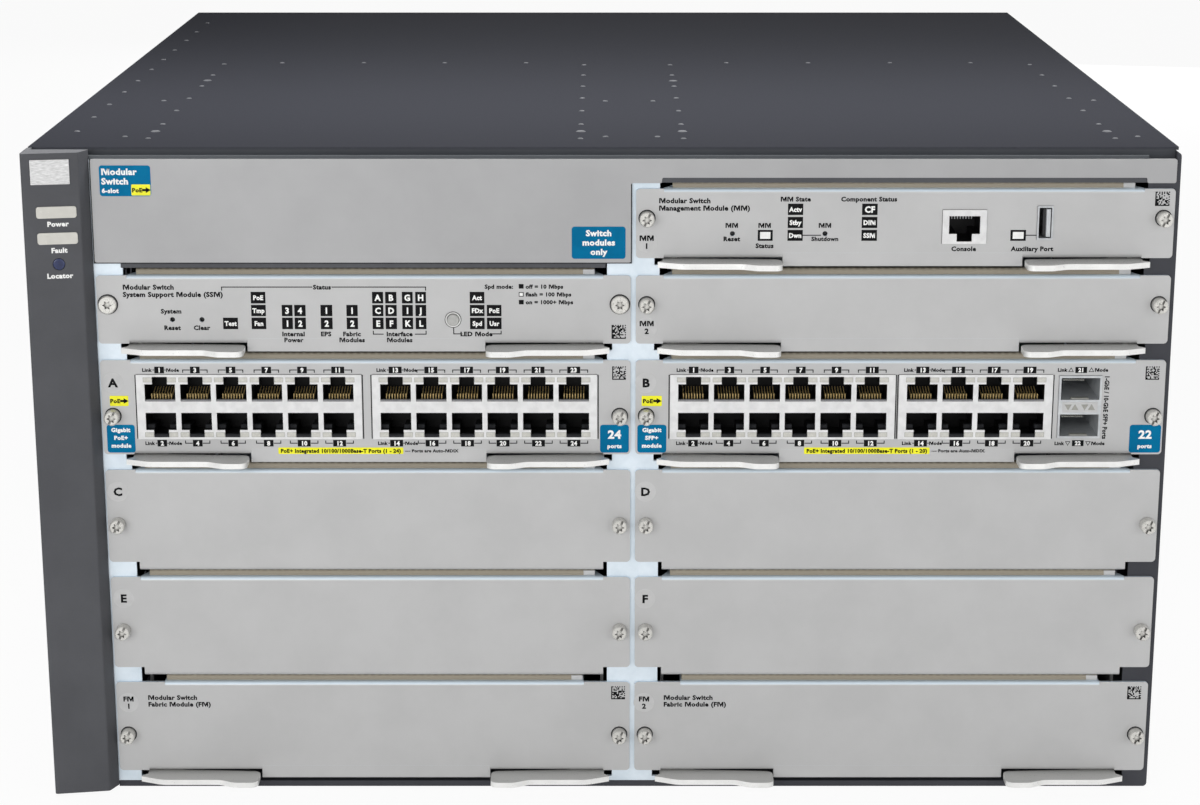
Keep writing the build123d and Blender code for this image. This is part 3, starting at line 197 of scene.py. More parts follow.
def addWords(bm, text, x, z, cap, y, align="CENTER", turn=0.0, roll=0.0, squeeze=1.08, wide=0.0):
    # cap is the height of a capital in mm, z its middle; the letters stand proud of y; wide fits a length
    # a capital M is set as I, V and I pushed together: its middle then reaches the line, as in print
    curve = bpy.data.curves.new("letters", "FONT")
    curve.body = text.replace("M", "IVI")
    index = 0
    for letter in text:
        if letter == "M":
            curve.body_format[index].kerning = lettering["closeM"]
            curve.body_format[index + 1].kerning = lettering["closeM"]
            index += 2
        index += 1
    curve.size = cap / 1000 / lettering["capShare"]
    curve.align_x = align
    curve.resolution_u = 2
    curve.offset = (lettering["bold"] + cap * lettering["boldByCap"]) / 1000
    curve.space_character = lettering["spacing"]
    curve.extrude = lettering["halfThick"] / 1000
    source = bpy.data.objects.new("letters", curve)
    mesh = bpy.data.meshes.new_from_object(source)
    if wide:
        reach = [v.co.x for v in mesh.vertices]
        squeeze = wide / 1000 / (max(reach) - min(reach))
    place = (Matrix.Translation((x / 1000, (y - lettering["halfThick"]) / 1000, z / 1000))
             @ Matrix.Rotation(turn, 4, "Z") @ Matrix.Rotation(math.pi / 2, 4, "X")
             @ Matrix.Rotation(roll, 4, "Z") @ Matrix.Diagonal((squeeze, 1.0, 1.0, 1.0))
             @ Matrix.Translation((0, -cap / 2000, 0)))
    mesh.transform(place)
    bm.from_mesh(mesh)
    bpy.data.meshes.remove(mesh)
    bpy.data.objects.remove(source)
    bpy.data.curves.remove(curve)


# Finishes

# Powder-coated sheet steel: matt charcoal with a fine orange peel
charcoalCoat = paintedFinish("charcoal_powder_coated_steel", ("#3c3d42", "#434449"), {
    "patch": 60, "grain": 0.8, "relief": 0.25, "height": 0.05, "rough": 0.52, "gloss": 0.15})
# The cover's coat is flatter; its top is painted darker as shade, so the folded edges read lighter
coverCoat = paintedFinish("charcoal_powder_coated_cover", ("#484a4e", "#4e5054"), {
    "patch": 90, "grain": 0.8, "relief": 0.2, "height": 0.05, "rough": 0.6, "gloss": 0.0006,
    "paintedLightUpward": ("#323338", 0.3, 0.8)})
# Zinc-plated sheet: pale blue passivate with soft cloudy spangle; its top edge above 259.3 mm is painted dark
# as the cover's shadow
zincSheet = paintedFinish("zinc_plated_sheet", ("#c9d5de", "#dae4ec"), {
    "patch": 14, "grain": 0.6, "relief": 0.12, "height": 0.03, "rough": 0.42, "metal": 0.35,
    "above": ("#43474b", 259.3)})
# Silver-painted steel plate: fine metallic flake and a faint mottle; faces that turn up, such as the folded
# lips, take a pale blue zinc tone that is partly a painted reflection of the bright sky
silverPlate = paintedFinish("silver_painted_faceplate", ("#b3b3b3", "#b8b8b8"), {
    "patch": 26, "grain": 0.5, "relief": 0.15, "height": 0.03, "rough": 0.45, "metal": 0.25,
    "paintedLightUpward": ("#cfdce6", 0.12, 0.5)})
# The fascia has the same paint from a slightly darker batch
fasciaPaint = paintedFinish("silver_painted_fascia", ("#9f9fa0", "#a5a5a6"), {
    "patch": 40, "grain": 0.5, "relief": 0.15, "height": 0.03, "rough": 0.45, "metal": 0.25})
# Moulded ABS bezel: spark-eroded texture, satin
bezelPlastic = paintedFinish("moulded_abs_bezel", ("#494a4e", "#505155"), {
    "patch": 40, "grain": 0.7, "relief": 0.35, "height": 0.06, "rough": 0.6, "gloss": 0.3})
# Milky acrylic light window, polished
milkyAcrylic = paintedFinish("milky_acrylic_window", ("#cbc9c2", "#d3d1ca"), {
    "patch": 9, "grain": 1.5, "relief": 0.05, "height": 0.02, "rough": 0.22})
# Tinted acrylic lens, polished dark blue
blueLens = paintedFinish("blue_acrylic_lens", ("#20284a", "#2c3760"), {
    "patch": 2, "grain": 0.8, "relief": 0.05, "height": 0.02, "rough": 0.15})
# Circuit laminate under green solder mask, with dark chips and headers above it
laminate = 1.7   # mm
boardMask = {}
for name in sorted(nodes):
    if name.endswith("_board"):
        top = nodeBox(name)[0].z + laminate
        boardMask[name] = paintedFinish("green_solder_mask_" + name, ("#1f4a33", "#2a5c40"), {
            "patch": 12, "relief": 0.2, "height": 0.03, "rough": 0.35,
            "above": ("#33353a", top)})
# Stamped steel lever: bright zinc; its upper side is painted greyer as shade
leverSteel = paintedFinish("bright_zinc_lever", ("#e6e6e4", "#f0f0ee"), {
    "patch": 8, "grain": 0.5, "height": 0.03, "rough": 0.32, "metal": 0.3,
    "paintedLightUpward": ("#c9c9c7", 0.3, 0.8)})
# Nickel-plated screw and rivet, with painted shade in the drive slots
nickel = paintedFinish("nickel_plated_fastener", ("#c4c3be", "#d2d0cb"), {
    "patch": 1.5, "grain": 0.3, "height": 0.02, "rough": 0.3, "metal": 0.6,
    "recess": ("#4c4b49", 1.2)})
# Tinned steel cage of the pluggable transceivers
tinnedSteel = paintedFinish("tinned_steel_cage", ("#b4b7ba", "#c6c9cb"), {
    "patch": 6, "height": 0.02, "rough": 0.34, "metal": 0.3})
# Small moulded buttons
blackButton = paintedFinish("black_acetal_button", ("#1a1a1c", "#242427"), {
    "patch": 2, "relief": 0.2, "height": 0.02, "rough": 0.4})
greyButton = paintedFinish("grey_acetal_button", ("#a4a4a2", "#b2b2af"), {
    "patch": 2, "relief": 0.2, "height": 0.02, "rough": 0.4})
# Glass-filled nylon rotor: dark with faint pale fibre specks
rotorNylon = paintedFinish("glass_filled_nylon", ("#1b1c1e", "#2a2b2e"), {
    "patch": 3, "grain": 0.7, "relief": 0.35, "height": 0.05, "rough": 0.55})
# Printed inks and vinyl: even colour, a thin film's slight ripple
blackInk = paintedFinish("black_screen_print", ("#0c0c0d", "#131315"), {
    "patch": 2, "grain": 0.3, "height": 0.005, "rough": 0.5, "gloss": 0.08})
whiteInk = paintedFinish("white_screen_print", ("#ececea", "#f6f6f4"), {
    "patch": 2, "grain": 0.3, "height": 0.005, "rough": 0.5})
blueVinyl = paintedFinish("blue_vinyl_label", ("#006792", "#00709d"), {
    "patch": 8, "grain": 0.5, "rough": 0.38, "gloss": 0.06})
yellowVinyl = paintedFinish("yellow_vinyl_label", ("#ecea04", "#f6f20c"), {
    "patch": 6, "grain": 0.5, "rough": 0.4})
paleDisc = paintedFinish("pale_slot_mark", ("#bababa", "#c0c0c0"), {
    "patch": 4, "rough": 0.5})
# Clear polycarbonate light pipes, milky where they end
lightPipe = paintedFinish("polycarbonate_light_pipe", ("#c4c2bb", "#cecdc6"), {
    "patch": 1.5, "grain": 0.6, "rough": 0.25})
# Grey painted as shade in the gap round each light pipe and in the slots among the cage's spring fingers;
# also on the cage's sills and lamp triangles
darkGap = paintedFinish("grey_recess_shade_and_marks", ("#8e8e88", "#999992"), {
    "patch": 2, "rough": 0.5})
# A grey band painted as the light and shade on the lower rim of each upper socket
socketRimLight = paintedFinish("grey_socket_rim_painted_light", ("#77777a", "#858588"), {
    "patch": 2, "rough": 0.45})
# Black for painted shadow in the gaps round screws, the mode button and the fascia; also on the latch rests
# and the painted shade in the lower sockets' corners
shadowBlack = paintedFinish("black_shadow_gap", ("#232426", "#2c2d30"), {
    "patch": 2, "rough": 0.6, "gloss": 0.08})
# Gold flash over nickel on the jack springs, dulled by use
goldFlash = paintedFinish("gold_flashed_spring", ("#c8ac70", "#dcc288"), {
    "patch": 1, "grain": 0.3, "relief": 0.05, "rough": 0.35, "metal": 0.25})


def splitFinish(name, plan):
    # one part with two finishes along its depth; patches and grain are cells per metre and detail
    material, tree, place = newMaterial(name)
    depth = addNode(tree, "SeparateXYZ", {}, {"Vector": place})
    share = addNode(tree, "MapRange",
                    {"From Min": plan["split"][0] / 1000, "From Max": plan["split"][1] / 1000},
                    {"Value": depth.outputs["Y"]})
    patches, grain = (addNode(tree, "TexNoise", {"Scale": scale, "Detail": detail},
                              {"Vector": place}) for scale, detail in (plan["patches"], plan["grain"]))
    mixed = addNode(tree, "Mix", {"data_type": "RGBA"}, {"Factor": share.outputs["Result"]})
    for socket, tones in ((6, plan["front"]), (7, plan["behind"])):
        ramp = addNode(tree, "ValToRGB", {"stops": [(0.35, tones[0]), (0.65, tones[1])]},
                       {"Fac": patches.outputs["Fac"]})
        tree.links.new(ramp.outputs["Color"], mixed.inputs[socket])
    relief = addNode(tree, "Bump", {"Strength": plan["relief"], "Distance": plan["height"] / 1000},
                     {"Height": grain.outputs["Fac"]})
    gloss = addNode(tree, "MapRange", {"To Min": plan["rough"][0], "To Max": plan["rough"][1]},
                    {"Value": grain.outputs["Fac"]})
    addShader(tree, {"Metallic": plan["metal"], "Specular IOR Level": plan["gloss"]},
              {"Base Color": mixed.outputs[2], "Normal": relief.outputs["Normal"],
               "Roughness": gloss.outputs["Result"]})
    return material


# Nylon housing behind a bright white front: white only on the front face, black inside the sockets
whiteJack = splitFinish("nylon_jack_with_white_front", {
    "split": (-228.85, -228.65), "front": ("#dadada", "#e6e6e6"), "behind": ("#050505", "#0d0d0e"),
    "patches": (300.0, 3.0), "grain": (300.0, 3.0), "relief": 0.15, "height": 0.03,
    "rough": (0.34, 0.46), "metal": 0.0, "gloss": 0.2})
# Zinc-plated cartridge with a black-painted pull at the rear
supplyZinc = splitFinish("zinc_cartridge_with_black_pull", {
    "split": (230.9, 231.3), "front": ("#aab3ba", "#c2cad0"), "behind": ("#1d1e20", "#29292c"),
    "patches": (70.0, 4.0), "grain": (1600.0, 2.0), "relief": 0.12, "height": 0.03,
    "rough": (0.36, 0.52), "metal": 0.35, "gloss": 0.5})


def gasketFinish():
    # Metallised fabric over foam: a tan plain weave, drawn 2.8 mm from thread to thread so that it shows
    thread = 2.8274
    material, tree, place = newMaterial("metallised_fabric_gasket")
    weave = addNode(tree, "Math", {"operation": "MULTIPLY"})
    for socket, direction in enumerate("XY"):   # at scale 1 a wave repeats every 2 pi / 20 metres
        threads = addNode(tree, "TexWave",
                          {"bands_direction": direction, "Scale": 2 * math.pi / 20 * 1000 / thread,
                           "Distortion": 0.6, "Detail": 1.0}, {"Vector": place})
        tree.links.new(threads.outputs["Fac"], weave.inputs[socket])
    colours = addNode(tree, "ValToRGB", {"stops": [(0.1, "#978f80"), (0.8, "#b3ac9a")]},
                      {"Fac": weave.outputs["Value"]})
    relief = addNode(tree, "Bump", {"Strength": 0.5, "Distance": 0.0001},
                     {"Height": weave.outputs["Value"]})
    addShader(tree, {"Roughness": 0.7, "Metallic": 0.2},
              {"Base Color": colours.outputs["Color"], "Normal": relief.outputs["Normal"]})
    return material


def brushedFinish():
    # Anodised aluminium badge plate, brushed across: fine streaks 0.3 mm apart
    streak = 0.3
    material, tree, place = newMaterial("brushed_anodised_aluminium")
    stretch = addNode(tree, "Mapping", {"Scale": (0.04, 1.0, 1.0)}, {"Vector": place})
    streaks = addNode(tree, "TexNoise", {"Scale": 1000 / streak, "Detail": 3.0},
                      {"Vector": stretch.outputs["Vector"]})
    colours = addNode(tree, "ValToRGB", {"stops": [(0.3, "#b5b5b5"), (0.7, "#dcdcdc")]},
                      {"Fac": streaks.outputs["Fac"]})
    relief = addNode(tree, "Bump", {"Strength": 0.2, "Distance": 0.00003},
                     {"Height": streaks.outputs["Fac"]})
    addShader(tree, {"Roughness": 0.32, "Metallic": 0.6},
              {"Base Color": colours.outputs["Color"], "Normal": relief.outputs["Normal"]})
    return material


gasketCloth = gasketFinish()
brushedPlate = brushedFinish()

nodeFinish = {
    charcoalCoat: ["chassis_shell"],
    coverCoat: ["top_cover"],
    zincSheet: ["front_frame", "backplane"],
    fasciaPaint: ["fascia_panel"],
    silverPlate: [*coverKeys, *(carrier(key) for key in moduleKeys)],
    bezelPlastic: ["side_bezel"],
    milkyAcrylic: ["status_windows"],
    blueLens: ["locator_lens"],
    nickel: ["slot_cover_screws", *(key + "_fasteners" for key in moduleKeys)],
    tinnedSteel: ["line_b_cages", "management_1_usb_port"],
    whiteJack: ["line_a_jacks", "line_b_jacks", "management_1_console_jack"],
    blackButton: ["management_1_reset_button", "management_1_shutdown_button", "support_reset_button",
                  "support_clear_button"],
    greyButton: ["support_mode_button"],
    rotorNylon: ["fan_rotor_left", "fan_rotor_right"],
    supplyZinc: ["power_supply_left", "power_supply_right", "fan_tray"],
    leverSteel: [name for name in nodes if "_lever_" in name],
}
for name, material in boardMask.items():
    nodeFinish[material] = [name]
dressed = set()
for material, names in nodeFinish.items():
    for name in names:
        for slot in nodes[name].material_slots:
            slot.material = material
        dressed.add(name)
print("finishes on nodes:", len(dressed), "left plain:", sorted(set(nodes) - dressed))

# Printing on the plates, in mm; sunk is how far a film reaches into the metal

plate = {"face": -228.5, "jackFace": -229.1, "sunk": 0.01, "ink": 0.02, "square": 0.03, "halfLine": 0.19,
         "disc": 0.04, "discRadius": 4.2, "discTaper": 0.97, "lamp": 0.06, "lampBack": 0.01, "cells": 12,
         "digitCap": 2.4, "digitShare": 0.66, "wordCap": 1.8,
         "film": {"blue": 0.05, "yellow": 0.08}, "corner": {"blue": 1.1, "yellow": 0.35},
         "arrow": {"tail": 1.3, "neck": 0.3, "half": 0.45, "head": 0.7, "radius": 1.3},
         "triangle": {"black": (1.25, 0.02), "pale": (0.75, 0.03)},
         "inks": {"black": blackInk, "white": whiteInk, "blue": blueVinyl, "yellow": yellowVinyl,
                  "pale": paleDisc}}


def printPlate(key, plan):
    # words are grouped by colour, cap and alignment; every film sits on the metal
    inks = {colour: bmesh.new() for colour in plate["inks"]}
    face = plate["face"]
    back = face + plate["sunk"]
    films = plan.get("films", [])
    discs = plan.get("discs", [])
    for x, z in discs:
        addDisc(inks["pale"], x, z, plate["discRadius"], back, plate["disc"], 28, plate["discTaper"])
    for colour, x0, x1, z0, z1 in films:
        film = addBlock(inks[colour], (x0, face - plate["film"][colour], z0), (x1, back, z1))
        corners = {e for v in film for e in v.link_edges if abs(e.verts[0].co.y - e.verts[1].co.y) > 1e-6}
        bmesh.ops.bevel(inks[colour], geom=list(corners), offset=plate["corner"][colour] / 1000,
                        affect="EDGES", segments=4, profile=0.5, material=-1)
    for (colour, cap, align), rows in plan.get("words", {}).items():
        for text, x, z in rows:
            under = [plate["film"][film] for film, x0, x1, z0, z1 in films if x0 <= x <= x1 and z0 <= z <= z1]
            under += [plate["disc"] for discX, discZ in discs
                      if max(abs(x - discX), abs(z - discZ)) < plate["discRadius"]]
            addWords(inks[colour], text, x, z, cap, face - max(under, default=0.0), align)
    for text, x, z, cap, wide in plan.get("fitted", []):
        addWords(inks["black"], text, x, z, cap, face - plate["film"]["yellow"], wide=wide)
    for x0, x1, z0, z1, text in plan.get("squares", []):
        addBlock(inks["black"], (x0, face - plate["square"], z0), (x1, back, z1))
        if text:
            digit = min(plate["digitCap"], (z1 - z0) * plate["digitShare"])
            addWords(inks["white"], text, (x0 + x1) / 2, (z0 + z1) / 2,
                     digit if len(text) < 3 else plate["wordCap"], face - plate["square"], squeeze=0.95)
    half = plate["halfLine"]
    for x0, z0, x1, z1 in plan.get("lines", []):
        addBlock(inks["black"], (min(x0, x1) - half, face - plate["ink"], min(z0, z1) - half),
                 (max(x0, x1) + half, back, max(z0, z1) + half))
    arrow = plate["arrow"]
    top = face - plate["film"]["yellow"]
    for x, z in plan.get("arrows", []):
        addBlock(inks["black"], (x - arrow["tail"], top - plate["ink"], z - arrow["half"]),
                 (x + arrow["neck"], top, z + arrow["half"]))
        addDisc(inks["black"], x + arrow["head"], z, arrow["radius"], top, plate["ink"], 3, 1.0, -math.pi / 2)
    for x, z, roll in plan.get("triangles", []):
        for colour, (radius, thick) in plate["triangle"].items():
            addDisc(inks[colour], x, z, radius, face, thick, 3, 1.0, roll)
    for x0, z0, side in plan.get("codes", []):   # a random pattern that encodes nothing
        cell = side / plate["cells"]
        last = plate["cells"] - 1
        for row in range(plate["cells"]):
            for column in range(plate["cells"]):
                edge = row == 0 or column == 0 or (row == last and column % 2) or (column == last and row % 2)
                if edge or (row < last and column < last and random.random() < 0.5):
                    addBlock(inks["black"], (x0 + column * cell, face - plate["ink"], z0 + row * cell),
                             (x0 + (column + 1.02) * cell, back, z0 + (row + 1.02) * cell))
    for x0, x1, z0, z1 in plan.get("lamps", []):
        addBlock(inks["white"], (x0, face - plate["lamp"], z0), (x1, face - plate["lampBack"], z1))
    for colour, bm in inks.items():
        if bm.verts:
            newPiece(key + "_" + colour + "_print", bm, plate["inks"][colour], bodyOf(key))
        else:
            bm.free()


def squareColumns(columns, rows):
    # columns: x0 and x1 to the texts of the squares, the last one in the lowest row
    return [columnX + rows[index - len(texts)] + (text,)
            for columnX, texts in columns.items() for index, text in enumerate(texts)]


printPlate("fascia", {
    "films": [("blue", -193.9, -174.1, 245.0, 257.0), ("blue", -12.25, 8.6, 220.4, 233.1),
              ("yellow", -181.7, -174.4, 245.3, 249.6)],
    "words": {("white", 2.4, "LEFT"): [("Modular", -193.1, 254.6), ("Switch", -193.1, 250.9)],
              ("white", 1.7, "LEFT"): [("6-slot", -193.1, 247.2)],
              ("black", 1.6, "CENTER"): [("PoE", -179.5, 247.4)],
              ("white", 2.3, "CENTER"): [("Switch", -1.8, 230.6), ("modules", -1.8, 226.9),
                                         ("only", -1.8, 223.2)]},
    "arrows": [(-176.2, 247.4)],
})
supportSquares = squareColumns({
    (-148.3, -142.5): ["Test"], (-137.2, -131.5): ["PoE", "Tmp", "Fan"], (-125.3, -121.1): "31",
    (-120.4, -116.0): "42", (-110.2, -105.6): "12", (-100.1, -95.7): "12", (-90.0, -85.7): "ACE",
    (-84.9, -80.5): "BDF", (-78.4, -74.2): "GIK", (-73.2, -69.0): "HJL",
    (-52.0, -46.3): ["Act", "FDx", "Spd"], (-45.4, -39.7): ["PoE", "Usr"],
}, [(202.7, 207.3), (197.6, 202.1), (192.4, 197.0)])
printPlate("support", {
    "squares": supportSquares + [(-32.9, -31.0, z, z + 1.8, "") for z in (208.6, 205.4, 202.3)],
    "lamps": [(-32.6, -31.3, 205.7, 206.9)],
    "words": {
        ("black", 1.9, "LEFT"): [("Modular Switch", -186.9, 209.2),
                                 ("System Support Module (SSM)", -186.9, 206.3)],
        ("black", 1.75, "CENTER"): [
            ("Status", -109.4, 209.2), ("System", -168.4, 199.6), ("Reset", -168.2, 193.0),
            ("Clear", -156.7, 193.0), ("Internal", -121.0, 190.5), ("Power", -121.0, 188.1),
            ("EPS", -108.3, 190.5), ("Fabric", -98.2, 190.5), ("Modules", -98.2, 188.1),
            ("Interface", -79.6, 190.5), ("Modules", -79.6, 188.1), ("LED Mode", -49.6, 190.5)],
        ("black", 1.6, "CENTER"): [("Spd mode:", -40.6, 209.4)],
        ("black", 1.55, "LEFT"): [("off = 10 Mbps", -30.2, 209.4), ("flash = 100 Mbps", -30.2, 206.3),
                                  ("on = 1000+ Mbps", -30.2, 203.2)]},
    "lines": [(-148.4, 209.2, -113.3, 209.2), (-148.4, 208.0, -148.4, 209.2), (-105.5, 209.2, -69.1, 209.2),
              (-69.1, 208.0, -69.1, 209.2), (-89.8, 190.4, -86.0, 190.4), (-89.8, 190.4, -89.8, 191.6),
              (-73.4, 190.4, -69.2, 190.4), (-69.2, 190.4, -69.2, 191.6), (-58.4, 190.5, -55.2, 190.5),
              (-58.4, 190.5, -58.4, 192.8), (-44.0, 190.5, -39.9, 190.5), (-39.9, 190.5, -39.9, 191.6)],
    "codes": [(3.2, 188.5, 5.6)],
})
printPlate("management_1", {
    "squares": squareColumns({(71.2, 77.1): ["Actv", "Stby", "Dwn"], (99.8, 105.8): ["CF", "DIM", "SSM"],
                              (59.7, 65.5): [""], (157.4, 163.4): [""]},
                             [(237.65, 242.1), (232.55, 236.9), (227.5, 231.8)]),
    "lamps": [(60.6, 64.6, 228.3, 231.0), (158.3, 162.5, 228.3, 231.0)],
    "words": {
        ("black", 1.9, "LEFT"): [("Modular Switch", 21.4, 243.3), ("Management Module (MM)", 21.4, 240.4)],
        ("black", 1.75, "CENTER"): [
            ("MM State", 74.1, 243.9), ("Component Status", 102.4, 243.9), ("MM", 49.6, 233.6),
            ("Reset", 49.6, 228.3), ("MM", 62.3, 233.6), ("Status", 62.4, 225.6), ("MM", 85.6, 233.6),
            ("Console", 139.5, 224.4), ("Auxiliary Port", 166.0, 224.4)],
        ("black", 1.6, "CENTER"): [("Shutdown", 85.7, 228.3)],
        ("black", 2.0, "CENTER"): [("MM", 16.75, 228.6)],
        ("black", 2.1, "CENTER"): [("1", 16.75, 225.5)]},
    "lines": [(77.1, 229.7, 84.0, 229.7), (163.4, 229.7, 167.4, 229.7)],
    "discs": [(16.75, 227.0)],
    "codes": [(212.65, 241.2, 5.6)],
})
printPlate("management_2", {
    "discs": [(16.9, 193.0)],
    "words": {("black", 2.0, "CENTER"): [("MM", 16.9, 194.7)],
              ("black", 2.1, "CENTER"): [("2", 16.9, 191.6)]},
})
for key, x, code in (("fabric_1", -192.4, 3.2), ("fabric_2", 16.5, 212.2)):
    printPlate(key, {
        "discs": [(x, 36.9)],
        "words": {("black", 2.0, "CENTER"): [("FM", x, 38.5)], ("black", 2.1, "CENTER"): [(key[-1], x, 35.4)],
                  ("black", 1.9, "LEFT"): [("Modular Switch", x + 7.9, 39.1),
                                           ("Fabric Module (FM)", x + 7.9, 36.2)]},
        "codes": [(code, 38.3, 5.6)],
    })
for letter, x, z in (("C", -192.6, 126.2), ("D", 16.7, 126.2), ("E", -192.4, 81.5), ("F", 16.7, 81.3)):
    printPlate("slot_cover_" + letter.lower(),
               {"discs": [(x, z)], "words": {("black", 3.3, "CENTER"): [(letter, x, z)]}})

lineModules = {
    "line_a": {"letter": "A", "letterX": -192.5, "blocks": [(-139.1, 6), (-46.6, 6)],
               "films": [("blue", -195.8, -184.7, 142.3, 153.7), ("blue", -1.3, 10.1, 142.3, 153.7),
                         ("yellow", -194.0, -186.7, 161.35, 165.5)],
               "poeX": -191.9, "arrowX": -188.6, "kindX": -190.3, "kind": "PoE+", "countX": 4.4,
               "count": "24", "stripX": (-128.4, -79.0), "ports": 24, "codeX": 3.45},
    "line_b": {"letter": "B", "letterX": 16.7, "blocks": [(70.4, 6), (146.2, 4)],
               "films": [("blue", 13.4, 24.9, 142.3, 153.7), ("blue", 207.5, 219.9, 142.3, 153.7),
                         ("yellow", 15.05, 23.0, 161.3, 165.5)],
               "poeX": 17.5, "arrowX": 20.9, "kindX": 19.1, "kind": "SFP+", "countX": 213.7,
               "count": "22", "stripX": (79.3, 128.9), "ports": 20, "codeX": 212.6},
}
portPrint = {"pitch": 14.0, "margin": 2.2, "outline": 0.4, "foot": 148.2, "top": 173.8, "dashZ": 147.9,
             "dash": 1.1, "rows": ((174.6, 177.3), (144.8, 147.5)), "halfWide": (1.9, 2.55), "gap": 0.3,
             "first": 0.5, "bracket": 2.9, "hook": 0.9, "linkX": 3.0, "modeX": 3.3,
             "strip": (141.75, 144.4), "stripZ": 143.05, "stripEnd": 1.0, "noteGap": 0.8,
             "letterZ": 170.8, "poeZ": 163.4, "labelZ": (151.6, 148.4, 145.2), "countZ": (149.8, 145.0),
             "codeZ": 172.0, "codeSide": 5.4}


def linePlan(module):
    # outline and dashes round each block of jacks, then a numbered square above and below each column
    lines = []
    squares = []
    links = []
    modes = []
    port = 1
    for middle, columns in module["blocks"]:
        half = columns * portPrint["pitch"] / 2 + portPrint["margin"]
        for side in (-1, 1):
            edge = middle + side * (half + portPrint["outline"])
            lines.append((edge, portPrint["foot"], edge, portPrint["top"]))
        lines.append((middle - half, portPrint["top"], middle + half, portPrint["top"]))
        for column in range(columns + 1):
            dash = middle + (column - columns / 2) * portPrint["pitch"]
            lines.append((dash - portPrint["dash"], portPrint["dashZ"], dash + portPrint["dash"],
                          portPrint["dashZ"]))
        for column in range(columns):
            x = middle + (column - (columns - 1) / 2) * portPrint["pitch"]
            for hook, (z0, z1) in zip((-portPrint["hook"], portPrint["hook"]), portPrint["rows"]):
                wide = portPrint["halfWide"][len(str(port)) - 1]
                squares.append((x - wide, x + wide, z0, z1, str(port)))
                z = (z0 + z1) / 2
                end = wide + (portPrint["bracket"] if column else portPrint["first"])
                for side in (-1, 1):
                    lines.append((x + side * (wide + portPrint["gap"]), z, x + side * end, z))
                    if column:
                        lines.append((x + side * end, z, x + side * end, z + hook))
                if column == 0:
                    links.append(("Link", x - wide - portPrint["linkX"], z))
                    modes.append(("Mode", x + wide + portPrint["modeX"], z))
                port += 1
    start, end = module["stripX"]
    strip = "PoE+ Integrated 10/100/1000Base-T Ports (1 - " + str(module["ports"]) + ")"
    kinds = zip(("Gigabit", module["kind"], "module"), portPrint["labelZ"])
    countZ, portsZ = portPrint["countZ"]
    return {
        "discs": [(module["letterX"], portPrint["letterZ"])], "squares": squares, "lines": lines,
        "films": module["films"] + [("yellow", start, end) + portPrint["strip"]],
        "words": {("black", 3.4, "CENTER"): [(module["letter"], module["letterX"], portPrint["letterZ"])],
                  ("black", 1.35, "CENTER"): links, ("black", 1.3, "CENTER"): modes,
                  ("black", 1.25, "LEFT"): [("— Ports are Auto-MDIX", end + portPrint["noteGap"],
                                             portPrint["stripZ"])],
                  ("black", 1.6, "CENTER"): [("PoE", module["poeX"], portPrint["poeZ"])],
                  ("white", 1.6, "CENTER"): [(text, module["kindX"], z) for text, z in kinds]
                                            + [("ports", module["countX"], portsZ)],
                  ("white", 3.3, "CENTER"): [(module["count"], module["countX"], countZ)]},
        "fitted": [(strip, (start + end) / 2, portPrint["stripZ"], 1.5,
                    end - start - 2 * portPrint["stripEnd"])],
        "arrows": [(module["arrowX"], portPrint["poeZ"])],
        "codes": [(module["codeX"], portPrint["codeZ"], portPrint["codeSide"])],
    }


printPlate("line_a", linePlan(lineModules["line_a"]))
planB = linePlan(lineModules["line_b"])
planB["squares"] += [(185.0, 189.6, 174.75, 177.2, "21"), (185.0, 189.6, 144.95, 147.4, "22")]
planB["words"]["black", 1.35, "CENTER"] += [(text, x, z) for z in (176.0, 146.1)
                                            for text, x in (("Link", 179.9), ("Mode", 195.2))]
planB["triangles"] = [(x, z, roll) for z, roll in ((175.8, 0), (146.3, math.pi)) for x in (183.3, 191.3)]
printPlate("line_b", planB)
upright = {"text": "1-GbE / 10-GbE SFP+ Ports", "x": 197.7, "z": 160.8, "cap": 1.75, "long": 25.5}
uprightBm = bmesh.new()
addWords(uprightBm, upright["text"], upright["x"], upright["z"], upright["cap"], plate["face"],
         roll=-math.pi / 2, wide=upright["long"])
newPiece("line_b_upright_print", uprightBm, blackInk, "line_b_module")
print("plates printed")

# Jacks: light pipes; grey frames painted as the shade round them; grey bands painted as the light on the
# upper sockets' lower rims; latch rests and painted shade in the lower sockets' corners; springs

jacks = {
    "pitch": portPrint["pitch"], "upper": 166.8, "lower": 155.2, "lampRows": (172.1, 149.8),
    "lampSide": 4.75, "cornerShadeSide": 4.5,
    # frame: grey painted as the shade of the gap round each light pipe
    "frame": {"half": 1.75, "depth": (-0.04, 0.2), "height": (-0.95, 0.95), "bevel": 0.0},
    "pipe": {"half": 1.65, "depth": (-0.1, 0.2), "height": (-0.85, 0.85), "bevel": 0.08},
    # sill: the grey band painted as the light and shade on each upper socket's lower rim
    "sill": {"half": 5.95, "depth": (0.12, 1.4), "height": (-3.5, -2.8), "bevel": 0.12},
    "rest": {"half": 2.9, "depth": (0.2, 2.4), "height": (-6.5, -5.3), "bevel": 0.12},
    # stop: dark blocks painted as shade in the lower sockets' inner corners
    "stop": {"half": 1.45, "depth": (2.5, 5.0), "height": (-3.5, -1.9), "bevel": 0.12},
}
springs = {"count": 8, "pitch": 1.1, "half": 0.18, "halfThick": 0.12, "lean": 0.27, "bend": 2.1,
           "knee": (-0.6, -0.2), "lying": -225.0, "hanging": -219.5, "end": -215.5, "offset": 3.3,
           "bevel": 0.05}
jackPieces = {"light_pipes": (lightPipe, "window"), "pipe_shade_frames": (darkGap, "jack_shield"),
              "socket_rim_light": (socketRimLight, "jack_shield"), "latch_rests_and_corner_shade": (shadowBlack, "jack_shield"),
              "springs": (goldFlash, "fastener")}


